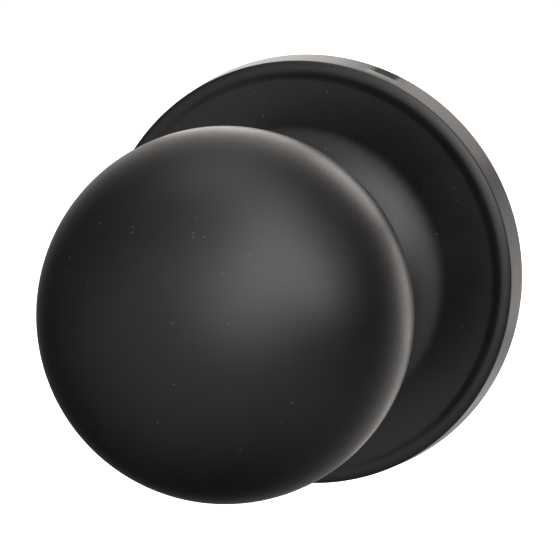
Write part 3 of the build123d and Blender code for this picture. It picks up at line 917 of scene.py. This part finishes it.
class KNOB_OT_base_plate(bpy.types.Operator):
    """Base plate with its hub, bore ring and fastener holes"""

    bl_idname = "knob.base_plate"
    bl_label = "Base plate"

    def execute(self, context):
        sizes = context.scene.knob_chassis
        rim = radius_of("rose_base_plate")
        hub_y, ring_y = depths("rose_base_plate")
        front_y = -sizes.plate_thickness
        bore = sizes.bush_radius + PRESS_GAP
        ring_inner = sizes.ring_radius - sizes.ring_wall
        piece = turned("base_plate", rounded([
            (bore, hub_y, 0.2 * MM),
            (sizes.hub_radius, hub_y, 0.4 * MM),
            (sizes.hub_radius, front_y, 0.9 * MM),
            (rim, front_y, 0.4 * MM),
            (rim, 0.0, 0.25 * MM),
            (sizes.ring_radius, 0.0, 0.3 * MM),
            (sizes.ring_radius, ring_y, 0.5 * MM),
            (ring_inner, ring_y, 0.4 * MM),
            (ring_inner, 0.0, 0.5 * MM),
            (bore, 0.0, 0.2 * MM),
        ]), 192)
        holes = [(middle(f"mounting_post_{side}"), sizes.post_neck) for side in ("left", "right")]
        holes += [(polar(sizes.ear_pitch, turn), sizes.screw_radius) for turn in SCREW_TURNS]
        holes += [(polar(sizes.rivet_pitch, turn), sizes.rivet_radius) for turn in CLIP_TURNS]
        drilled(piece, [(centre, radius, front_y - CUT_OVER, CUT_OVER) for centre, radius in holes])
        bevelled(piece, 0.12 * MM, 2)
        fitted(piece, "rose", "rose_base_plate", "zinc_plated_steel")
        return {"FINISHED"}


class KNOB_OT_posts(bpy.types.Operator):
    """Two staked mounting posts with threaded bores"""

    bl_idname = "knob.posts"
    bl_label = "Mounting posts"

    def execute(self, context):
        sizes = context.scene.knob_chassis
        front_y = -sizes.plate_thickness
        bore = sizes.thread_radius
        chamfer = 0.45 * MM
        drill_point = 1.0 * MM
        thread_depth, pitch, runout = 0.26 * MM, 0.7 * MM, 1.5 * MM
        for side in ("left", "right"):
            node = f"mounting_post_{side}"
            head_y, end_y = depths(node)
            head = (high(node).x - low(node).x) / 2
            bottom_y = end_y - sizes.thread_depth
            mouth_y = end_y - chamfer
            body = rounded([
                (0.0, head_y),
                (head - 0.4 * MM, head_y, 0.3 * MM),
                (head, front_y - 0.35 * MM, 0.2 * MM),
                (head, front_y),
                (sizes.post_neck, front_y),
                (sizes.post_neck, 0.0),
                (sizes.post_radius, 0.0, 0.15 * MM),
                (sizes.post_radius, mouth_y, 0.15 * MM),
                (sizes.post_radius - chamfer, end_y, 0.15 * MM),
                (bore + 0.4 * MM, end_y, 0.1 * MM),
            ])
            wall = [Vector((bore, y)) for y in np.linspace(mouth_y, bottom_y, 200)]
            tip = Vector((0.0, bottom_y - drill_point))
            piece = turned(f"post_{side}", body + wall + [tip], SMALL_ROUND, middle(node))
            add_thread(piece, middle(node), bore, thread_depth, pitch, bottom_y + runout, mouth_y)
            even_shading(piece)
            fitted(piece, "rose", node, "post_steel")
        return {"FINISHED"}


class KNOB_OT_spring_cage(bpy.types.Operator):
    """Cast cup for the return spring, with screw ears, turn stops and the spring's rib"""

    bl_idname = "knob.spring_cage"
    bl_label = "Spring cage"

    def execute(self, context):
        sizes = context.scene.knob_chassis
        outer = high("spring_cage").x
        inner = outer - sizes.cage_wall
        end_y = high("spring_cage").y
        floor_y = end_y - sizes.cage_floor
        bore = sizes.shank_radius + RUNNING_GAP
        cage = turned("spring_cage_cup", rounded([
            (inner, 0.0),
            (outer, 0.0),
            (outer, end_y, 0.9 * MM),
            (bore, end_y, 0.3 * MM),
            (bore, floor_y, 0.3 * MM),
            (inner, floor_y, 0.8 * MM),
        ]), 144)
        for side in (1, -1):
            tip = [polar(sizes.ear_radius, side * turn) for turn in np.linspace(0, 180, 25)]
            root = side * (inner + 0.5 * MM)
            ear = [(x, z + side * sizes.ear_pitch) for x, z in tip]
            ear += [(-sizes.ear_radius, root), (sizes.ear_radius, root)]
            join(cage, slab("ear", ear, 0.0, sizes.ear_thickness))
        into_wall = inner + 0.3 * MM
        stops = sector_outline(into_wall, sizes.stop_radius, 90, sizes.stop_half_angle, 120)
        join(cage, slab("stops", stops, 0.0, sizes.stop_depth))
        rib = sector_outline(into_wall, sizes.stop_radius, 90, sizes.rib_half_angle, 12)
        join(cage, slab("rib", rib, 0.0, floor_y + 0.2 * MM))
        hole = sizes.screw_radius + 0.1 * MM
        drill_end = sizes.ear_thickness + CUT_OVER
        drilled(cage, [(polar(sizes.ear_pitch, turn), hole, -CUT_OVER, drill_end) for turn in SCREW_TURNS])
        bevelled(cage, 0.22 * MM, 3)
        fitted(cage, "rose", "spring_cage", "cage_zinc")
        return {"FINISHED"}


class KNOB_OT_cage_screws(bpy.types.Operator):
    """Two slotted screws that hold the spring cage"""

    bl_idname = "knob.cage_screws"
    bl_label = "Cage screws"

    def execute(self, context):
        sizes = context.scene.knob_chassis
        tip_y, top_y = depths("cage_screws")
        seat_y = sizes.ear_thickness
        head = high("cage_screws").x
        radius = sizes.screw_radius
        shaft = [Vector((radius, y)) for y in np.linspace(tip_y + 0.2 * MM, seat_y, 70)]
        crown = rounded([
            (radius, seat_y),
            (head, seat_y, 0.15 * MM),
            (head, top_y, 0.9 * MM),
            (0.0, top_y),
        ])[1:]
        profile = [Vector((0.0, tip_y)), Vector((radius - 0.2 * MM, tip_y))] + shaft + crown
        centres = [polar(sizes.ear_pitch, turn) for turn in SCREW_TURNS]

        def build_slots(bm):
            for centre in centres:
                outline = box_outline(3 * head, sizes.slot_width, centre)
                add_loft(bm, [(top_y - sizes.slot_width, outline), (top_y + CUT_OVER, outline)])

        piece = turned_copies("slotted_screws", profile, centres)
        thread_depth, pitch, plain_end = 0.2 * MM, 0.5 * MM, 0.2 * MM
        for centre in centres:
            add_thread(piece, centre, radius, -thread_depth, pitch, tip_y, seat_y - plain_end)
        cut(piece, mesh_object("slots", build_slots))
        bevelled(piece, 0.08 * MM, 2, 50.0)
        fitted(piece, "rose", "cage_screws", "screw_steel")
        return {"FINISHED"}


class KNOB_OT_cover_clips(bpy.types.Operator):
    """Three bent spring clips that grip the rose cover"""

    bl_idname = "knob.cover_clips"
    bl_label = "Cover clips"

    def execute(self, context):
        sizes = context.scene.knob_chassis
        foot_y, tip_y = high("cover_clips").y, low("cover_clips").y
        leg = sizes.clip_leg
        sheet = sizes.clip_sheet
        section = rounded([
            (sizes.clip_foot, foot_y, 0.1 * MM),
            (leg, foot_y, 0.95 * MM),
            (leg, tip_y, 0.12 * MM),
            (leg - sheet, tip_y, 0.12 * MM),
            (leg - sheet, foot_y - sheet, 0.45 * MM),
            (sizes.clip_foot, foot_y - sheet, 0.1 * MM),
        ], 6)

        def build(bm):
            for turn in CLIP_TURNS:
                out = Vector((*polar(1.0, turn), 0.0)).xzy
                along = Vector((-out.z, 0.0, out.x)) * sizes.clip_width / 2
                add_skin(bm, [
                    [bm.verts.new(out * r + Vector((0.0, y, 0.0)) + along * side) for r, y in section]
                    for side in (-1, 1)
                ])

        piece = mesh_object("spring_clips", build)
        drill_start, drill_end = foot_y - sheet - CUT_OVER, foot_y + CUT_OVER
        drilled(piece, [
            (polar(sizes.rivet_pitch, turn), sizes.rivet_radius, drill_start, drill_end)
            for turn in CLIP_TURNS
        ])
        bevelled(piece, 0.07 * MM, 2, 50.0)
        fitted(piece, "rose", "cover_clips", "spring_steel")
        return {"FINISHED"}


class KNOB_OT_clip_rivets(bpy.types.Operator):
    """Three round-headed rivets for the cover clips"""

    bl_idname = "knob.clip_rivets"
    bl_label = "Clip rivets"

    def execute(self, context):
        sizes = context.scene.knob_chassis
        top_y, end_y = depths("clip_rivets")
        seat_y = high("cover_clips").y - sizes.clip_sheet
        head = sizes.rivet_head
        profile = rounded([
            (0.0, top_y),
            (head * 0.62, top_y, 0.5 * MM),
            (head, seat_y - 0.12 * MM, 0.3 * MM),
            (head - 0.08 * MM, seat_y),
            (sizes.rivet_radius, seat_y),
            (sizes.rivet_radius, end_y),
            (0.0, end_y),
        ])

        centres = [polar(sizes.rivet_pitch, turn) for turn in CLIP_TURNS]
        piece = turned_copies("rivets", profile, centres)
        fitted(piece, "rose", "clip_rivets", "zinc_plated_steel")
        return {"FINISHED"}


class KNOB_OT_bush(bpy.types.Operator):
    """Flanged nylon bush that the shank turns in"""

    bl_idname = "knob.bush"
    bl_label = "Bearing bush"

    def execute(self, context):
        sizes = context.scene.knob_chassis
        front_y, end_y = depths("bearing_bush")
        hub_y = low("rose_base_plate").y
        flange = radius_of("bearing_bush")
        bore = sizes.shank_radius + RUNNING_GAP
        piece = turned("bush", rounded([
            (bore, front_y, 0.3 * MM),
            (flange, front_y, 0.25 * MM),
            (flange, hub_y, 0.15 * MM),
            (sizes.bush_radius, hub_y),
            (sizes.bush_radius, end_y, 0.3 * MM),
            (bore, end_y, 0.25 * MM),
        ]), 128)
        even_shading(piece)
        fitted(piece, "rose", "bearing_bush", "nylon")
        return {"FINISHED"}


class KNOB_OT_return_spring(bpy.types.Operator):
    """Torsion spring whose two legs straddle the cage's rib and the cam's finger"""

    bl_idname = "knob.return_spring"
    bl_label = "Return spring"

    def execute(self, context):
        sizes = context.scene.knob_chassis
        wire, coil = sizes.wire_radius, sizes.coil_radius
        start_y, end_y = low("return_spring").y + wire, high("return_spring").y - wire
        lean = sizes.leg_angle
        first, last = 90 + lean, 90 - lean + 360 * sizes.spring_turns

        def at(radius, turn):
            x, z = polar(radius, turn)
            return Vector((x, start_y + (end_y - start_y) * (turn - first) / (last - first), z))

        rise, toe_length = 0.1 * MM, 1.2 * MM
        straight = sizes.leg_reach - coil - rise - toe_length

        def bend(turn, inwards):
            """Leg that leaves the coil in a small bend and runs straight outwards."""
            heel, corner = at(coil, turn + inwards), at(coil + rise, turn)
            outwards = Vector((corner.x, 0.0, corner.z)).normalized()
            toe = corner + outwards * toe_length
            curve = [
                heel * (1 - t) ** 2 + corner * 2 * t * (1 - t) + toe * t**2
                for t in np.linspace(0, 1, 9)
            ]
            return curve + [toe + outwards * straight * t for t in (0.5, 1.0)]

        inwards = 7.0
        steps = 72 * sizes.spring_turns
        coil_turns = np.linspace(first + inwards, last - inwards, steps)[1:-1]
        path = bend(first, inwards)[::-1]
        path += [at(coil, turn) for turn in coil_turns]
        path += bend(last, -inwards)
        piece = mesh_object("torsion_spring", lambda bm: add_wire(bm, path, wire))
        fitted(piece, "rose", "return_spring", "spring_steel")
        return {"FINISHED"}


class KNOB_OT_liner(bpy.types.Operator):
    """Disc inside the ball that joins it to the shank"""

    bl_idname = "knob.liner"
    bl_label = "Liner"

    def execute(self, context):
        sizes = context.scene.knob_chassis
        ball = context.scene.knob_ball
        front_y, back_y = depths("knob_liner")
        centre = ball_centre(ball)
        inside = ball.radius - ball.wall - PRESS_GAP
        edge = [
            Vector((math.sqrt(inside**2 - (y - centre) ** 2), y))
            for y in np.linspace(front_y, back_y, 6)
        ]
        hole = sizes.tenon_radius + PRESS_GAP
        piece = turned("liner", [Vector((hole, front_y))] + edge + [Vector((hole, back_y))], 160)
        drilled(piece, [
            (polar(sizes.window_pitch, turn), sizes.window_radius, front_y - CUT_OVER, back_y + CUT_OVER)
            for turn in range(0, 360, 60)
        ])
        bevelled(piece, 0.15 * MM, 3)
        fitted(piece, "knob", "knob_liner", "zinc_plated_steel")
        return {"FINISHED"}


class KNOB_OT_shank(bpy.types.Operator):
    """Steel shank: staked tenon, bearing length, two flats and a square socket"""

    bl_idname = "knob.shank"
    bl_label = "Shank"

    def execute(self, context):
        sizes = context.scene.knob_chassis
        head_y, end_y = depths("knob_shank")
        liner_front, shoulder_y = depths("knob_liner")
        radius = sizes.shank_radius
        play = 0.05 * MM
        groove_start = low("retaining_ring").y - play
        groove_end = high("retaining_ring").y + play
        piece = turned("shank", rounded([
            (0.0, head_y),
            (sizes.tenon_head - 0.6 * MM, head_y, 0.3 * MM),
            (sizes.tenon_head, liner_front - 0.15 * MM, 0.3 * MM),
            (sizes.tenon_head - 0.1 * MM, liner_front),
            (sizes.tenon_radius, liner_front),
            (sizes.tenon_radius, shoulder_y),
            (radius, shoulder_y, 0.3 * MM),
            (radius, groove_start),
            (sizes.groove_radius, groove_start),
            (sizes.groove_radius, groove_end),
            (radius, groove_end),
            (radius, end_y - 0.6 * MM, 0.1 * MM),
            (radius - 0.6 * MM, end_y, 0.1 * MM),
            (0.0, end_y),
        ]), 128)

        def build(bm):
            socket = box_outline(sizes.socket_side, sizes.socket_side, corner=0.3 * MM)
            add_loft(bm, [(low("spindle").y - 0.5 * MM, socket), (end_y + CUT_OVER, socket)])
            for side in (-1, 1):
                flat = box_outline(radius, 3 * radius, (side * (sizes.shank_flat + radius / 2), 0.0))
                add_loft(bm, [(sizes.flat_start, flat), (end_y + CUT_OVER, flat)])

        cut(piece, mesh_object("broach", build))
        pin_y = sum(depths("spindle_pin")) / 2
        crossed(piece, high("spindle_pin").z, 2 * radius, pin_y)
        bevelled(piece, 0.12 * MM, 2)
        fitted(piece, "knob", "knob_shank", "shank_steel")
        return {"FINISHED"}


class KNOB_OT_spindle(bpy.types.Operator):
    """Square spindle with a chamfered end"""

    bl_idname = "knob.spindle"
    bl_label = "Spindle"

    def execute(self, context):
        start_y, end_y = depths("spindle")
        side = 2 * high("spindle").x
        chamfer = 0.9 * MM
        corner = 0.35 * MM
        whole = box_outline(side, side, corner=corner)
        tip = box_outline(side - 2 * chamfer, side - 2 * chamfer, corner=corner)
        stations = [(start_y, whole), (end_y - chamfer, whole), (end_y, tip)]
        piece = mesh_object("square_spindle", lambda bm: add_loft(bm, stations))
        pin_y = sum(depths("spindle_pin")) / 2
        crossed(piece, high("spindle_pin").z, side, pin_y)
        bevelled(piece, 0.15 * MM, 3)
        fitted(piece, "knob", "spindle", "spindle_steel")
        return {"FINISHED"}


class KNOB_OT_spindle_pin(bpy.types.Operator):
    """Cross pin through shank and spindle"""

    bl_idname = "knob.spindle_pin"
    bl_label = "Cross pin"

    def execute(self, context):
        half = high("spindle_pin").x
        radius = high("spindle_pin").z
        pin_y = sum(depths("spindle_pin")) / 2
        piece = turned("cross_pin", rounded([
            (0.0, -half), (radius, -half, 0.35 * MM), (radius, half, 0.35 * MM), (0.0, half)
        ]), SMALL_ROUND)
        even_shading(laid_across(piece, pin_y))
        fitted(piece, "knob", "spindle_pin", "shank_steel")
        return {"FINISHED"}


class KNOB_OT_drive_cam(bpy.types.Operator):
    """Plate on the shank's flats with the stop lug and the spring's finger"""

    bl_idname = "knob.drive_cam"
    bl_label = "Drive cam"

    def execute(self, context):
        sizes = context.scene.knob_chassis
        start_y, finger_y = depths("drive_cam")
        end_y = start_y + sizes.cam_thickness
        disc, lug = high("drive_cam").x, -low("drive_cam").z
        outline = [
            polar(lug if abs(turn + 90) <= sizes.lug_half_angle else disc, turn)
            for turn in np.linspace(-180, 180, 241)[:-1]
        ]
        piece = slab("cam", outline, start_y, end_y)
        finger = sector_outline(disc, sizes.finger_inner, 90, sizes.finger_half_angle, 16)
        join(piece, slab("finger", finger, start_y, finger_y))
        gap = 0.03 * MM
        flat = sizes.shank_flat + gap
        bore = [polar(sizes.shank_radius + gap, turn) for turn in range(0, 360, 3)]
        bore = [(max(-flat, min(flat, x)), z) for x, z in bore]
        cut(piece, slab("bore", bore, start_y - CUT_OVER, end_y + CUT_OVER))
        bevelled(piece, 0.15 * MM, 3)
        fitted(piece, "knob", "drive_cam", "cam_steel")
        return {"FINISHED"}


class KNOB_OT_washers(bpy.types.Operator):
    """Retaining ring, thrust washer and spring washer on the shank"""

    bl_idname = "knob.washers"
    bl_label = "Washers and ring"

    def execute(self, context):
        sizes = context.scene.knob_chassis
        start_y, end_y = depths("retaining_ring")
        inner = sizes.groove_radius + PRESS_GAP
        outline = sector_outline(radius_of("retaining_ring"), inner, 180, sizes.ring_half_angle, 96)
        ring = bevelled(slab("open_ring", outline, start_y, end_y), 0.14 * MM, 3)
        fitted(ring, "knob", "retaining_ring", "spring_steel")

        outer = radius_of("thrust_washer")
        start_y, end_y = depths("thrust_washer")
        section = ring_profile(outer, sizes.shank_radius + 0.05 * MM, start_y, end_y, 0.15 * MM)
        fitted(
            even_shading(turned("brass_washer", section, 128)), "knob", "thrust_washer", "washer_brass"
        )

        outer = radius_of("spring_washer")
        inner = sizes.shank_radius + 0.1 * MM
        front_y, back_y = depths("spring_washer")
        sheet = 0.3 * MM
        edge = 0.06 * MM
        section = rounded([
            (inner, back_y, edge),
            (outer, front_y + sheet, edge),
            (outer, front_y, edge),
            (inner, back_y - sheet, edge),
        ], 3)
        fitted(
            even_shading(turned("dished_washer", section, 128)), "knob", "spring_washer", "spring_steel"
        )
        return {"FINISHED"}


# ---------------------------------------------------------------- stage

SENSOR_WIDTH = 36.0
NEAR_CLIP, FAR_CLIP = 0.01, 50.0
FLOOR_SIDE, FLOOR_THICKNESS = 12.0, 0.01
WHITE_STRENGTH = 1.05

# Soft lights far from the knob: direction from the knob, width, brightness and colour. The width is the angle
# in degrees from the middle at which the light has fallen to about 0.6 of its brightness.
SOFT_LIGHTS = {
    "front": ((0.36, -0.92, 0.2), 22.0, 1.05, (1.0, 1.0, 1.0)),
    "key": ((0.61, -0.61, 0.51), 20.0, 2.2, (1.0, 1.0, 1.0)),
    "key_up": ((0.52, -0.16, 0.84), 17.0, 1.7, (1.0, 0.99, 0.99)),
    "key_side": ((0.91, -0.18, 0.37), 13.0, 1.8, (0.98, 0.98, 1.0)),
    "left_high": ((-0.26, -0.72, 0.65), 22.0, 0.4, (1.0, 1.0, 1.0)),
    "left": ((-0.69, -0.72, 0.08), 30.0, 0.32, (1.0, 1.0, 1.0)),
    "left_low": ((-0.36, -0.73, -0.58), 30.0, 0.26, (1.0, 1.0, 1.0)),
    "low": ((0.35, -0.68, -0.64), 25.0, 0.22, (1.0, 1.0, 1.0)),
    "low_right": ((0.8, -0.04, -0.6), 25.0, 0.22, (1.0, 1.0, 1.0)),
    "top": ((-0.08, 0.14, 0.99), 18.0, 1.1, (1.0, 0.98, 0.97)),
    "rim_right": ((0.3, 0.93, 0.2), 18.0, 0.3, (1.0, 0.95, 0.91)),
    "rim_top": ((-0.18, 0.91, 0.38), 18.0, 0.95, (1.0, 0.95, 0.91)),
    "rim_low": ((0.29, 0.9, -0.32), 15.0, 0.5, (1.0, 0.95, 0.92)),
    "back": ((-0.07, 1.0, -0.03), 16.0, 0.6, (1.0, 0.95, 0.92)),
}

# Soft boxes close behind the rose, for its side wall: place, diameter, brightness and colour.
SOFTBOXES = {
    "edge_right": ((0.08, 0.13, -0.01), 0.08, 0.45, (1.0, 0.93, 0.88)),
    "edge_high": ((0.05, 0.13, 0.08), 0.08, 0.6, (1.0, 0.93, 0.88)),
    "edge_top": ((-0.05, 0.14, 0.06), 0.08, 1.2, (1.0, 0.93, 0.88)),
    "edge_low": ((0.02, 0.14, -0.06), 0.08, 0.5, (1.0, 0.93, 0.88)),
}


def soft_light(nodes, links, view, direction, width, brightness, colour):
    """Colour that a soft light without edges adds in the direction that is looked in."""
    facing = nodes.new("ShaderNodeVectorMath")
    facing.operation = "DOT_PRODUCT"
    links.new(view, facing.inputs[0])
    facing.inputs[1].default_value = Vector(direction).normalized()
    fall = nodes.new("ShaderNodeMath")
    fall.operation = "MULTIPLY_ADD"
    sharpness = 1.0 / math.radians(width) ** 2
    links.new(facing.outputs["Value"], fall.inputs[0])
    fall.inputs[1].default_value = sharpness
    fall.inputs[2].default_value = math.log(brightness) - sharpness
    level = nodes.new("ShaderNodeMath")
    level.operation = "EXPONENT"
    links.new(fall.outputs["Value"], level.inputs[0])
    shade = nodes.new("ShaderNodeVectorMath")
    shade.operation = "SCALE"
    shade.inputs[0].default_value = colour
    links.new(level.outputs["Value"], shade.inputs["Scale"])
    return shade.outputs["Vector"]


def pale_surround():
    """World that looks white to the camera and lights the knob with the soft lights."""
    world = bpy.data.worlds.new("studio")
    world.use_nodes = True
    nodes, links = world.node_tree.nodes, world.node_tree.links
    view = nodes.new("ShaderNodeTexCoord").outputs["Generated"]
    total = None
    for light in SOFT_LIGHTS.values():
        shade = soft_light(nodes, links, view, *light)
        if total is not None:
            both = nodes.new("ShaderNodeVectorMath")
            links.new(total, both.inputs[0])
            links.new(shade, both.inputs[1])
            shade = both.outputs["Vector"]
        total = shade
    lit = nodes["Background"]
    links.new(total, lit.inputs["Color"])
    white = nodes.new("ShaderNodeBackground")
    white.inputs["Color"].default_value = (1.0, 1.0, 1.0, 1.0)
    white.inputs["Strength"].default_value = WHITE_STRENGTH
    choice = nodes.new("ShaderNodeMixShader")
    links.new(nodes.new("ShaderNodeLightPath").outputs["Is Camera Ray"], choice.inputs["Fac"])
    links.new(lit.outputs["Background"], choice.inputs[1])
    links.new(white.outputs["Background"], choice.inputs[2])
    links.new(choice.outputs["Shader"], nodes["World Output"].inputs["Surface"])
    return world


def softbox(name, place, diameter, brightness, colour):
    """Round soft light that faces the rose; brightness is what its surface shows."""
    light = bpy.data.lights.new(name, "AREA")
    light.shape = "DISK"
    light.size = diameter
    light.energy = math.pi * math.pi / 4 * diameter**2 * brightness
    light.color = colour
    lamp = bpy.data.objects.new(name, light)
    bpy.context.scene.collection.objects.link(lamp)
    lamp.location = place
    lamp.rotation_euler = (-Vector(place)).to_track_quat("-Z", "Y").to_euler()
    lamp.visible_camera = False
    return lamp


def pale_floor():
    """Pale matt floor, lit so evenly that it shows as white."""
    tree = FinishTree("pale_floor")
    clouds = tree.noise(1.5, 3.0, 0.5)
    shade = tree.mixed(clouds, (0.90, 0.90, 0.90), (0.94, 0.94, 0.94))
    roughness = tree.spread(clouds, 0.8, 0.9)
    tree.shader.inputs["Emission Color"].default_value = (1.0, 1.0, 1.0, 1.0)
    tree.shader.inputs["Emission Strength"].default_value = 1.0
    return tree.finish(shade, roughness, tree.bump(clouds, 0.1 * MM, 0.1))


class KNOB_OT_stage(bpy.types.Operator):
    """Pale floor, soft lights and the camera"""

    bl_idname = "knob.stage"
    bl_label = "Studio"

    def execute(self, context):
        studio = context.scene.knob_studio
        scene = context.scene
        camera_data = bpy.data.cameras.new("camera")
        camera_data.lens = studio.lens
        camera_data.sensor_width = SENSOR_WIDTH
        camera_data.clip_start = NEAR_CLIP
        camera_data.clip_end = FAR_CLIP
        camera = bpy.data.objects.new("camera", camera_data)
        scene.collection.objects.link(camera)
        camera.location = studio.camera_place
        camera.rotation_euler = Vector(studio.camera_forward).to_track_quat("-Z", "Y").to_euler()
        scene.camera = camera

        floor_back = studio.floor_drop + FLOOR_THICKNESS
        floor = slab("floor", box_outline(FLOOR_SIDE, FLOOR_SIDE), studio.floor_drop, floor_back)
        floor.data.transform(Matrix.Rotation(math.radians(-90.0), 4, "X"))
        floor.data.materials.append(pale_floor())
        floor.visible_glossy = False
        floor.visible_diffuse = False
        floor.visible_shadow = False

        for name, box in SOFTBOXES.items():
            softbox(name, *box)
        scene.world = pale_surround()
        scene.view_settings.view_transform = "Standard"
        return {"FINISHED"}


GROUPS = {
    "knob_ball": KnobBallSizes,
    "knob_rose": KnobRoseSizes,
    "knob_chassis": KnobChassisSizes,
    "knob_finish": KnobFinish,
    "knob_studio": KnobStudio,
}
OPERATORS = [
    KNOB_OT_ball,
    KNOB_OT_neck,
    KNOB_OT_rose,
    KNOB_OT_base_plate,
    KNOB_OT_posts,
    KNOB_OT_spring_cage,
    KNOB_OT_cage_screws,
    KNOB_OT_cover_clips,
    KNOB_OT_clip_rivets,
    KNOB_OT_bush,
    KNOB_OT_return_spring,
    KNOB_OT_liner,
    KNOB_OT_shank,
    KNOB_OT_spindle,
    KNOB_OT_spindle_pin,
    KNOB_OT_drive_cam,
    KNOB_OT_washers,
    KNOB_OT_stage,
]


class KNOB_PT_panel(bpy.types.Panel):
    """Lists the pieces of the knob and their sizes"""

    bl_label = "Door knob"
    bl_idname = "KNOB_PT_panel"
    bl_space_type = "VIEW_3D"
    bl_region_type = "UI"
    bl_category = "Door knob"

    def draw(self, context):
        for operator in OPERATORS:
            self.layout.operator(operator.bl_idname)
        for name, group in GROUPS.items():
            sizes = getattr(context.scene, name)
            section = self.layout.box()
            section.label(text=group.__doc__)
            for key in group.__annotations__:
                section.prop(sizes, key)


def register():
    for name, group in GROUPS.items():
        bpy.utils.register_class(group)
        setattr(bpy.types.Scene, name, PointerProperty(type=group))
    for operator in OPERATORS:
        bpy.utils.register_class(operator)
    bpy.utils.register_class(KNOB_PT_panel)


def unregister():
    bpy.utils.unregister_class(KNOB_PT_panel)
    for operator in reversed(OPERATORS):
        bpy.utils.unregister_class(operator)
    for name, group in reversed(GROUPS.items()):
        delattr(bpy.types.Scene, name)
        bpy.utils.unregister_class(group)


def main():
    register()
    for operator in OPERATORS:
        group, name = operator.bl_idname.split(".")
        getattr(getattr(bpy.ops, group), name)()


if __name__ == "__main__":
    main()
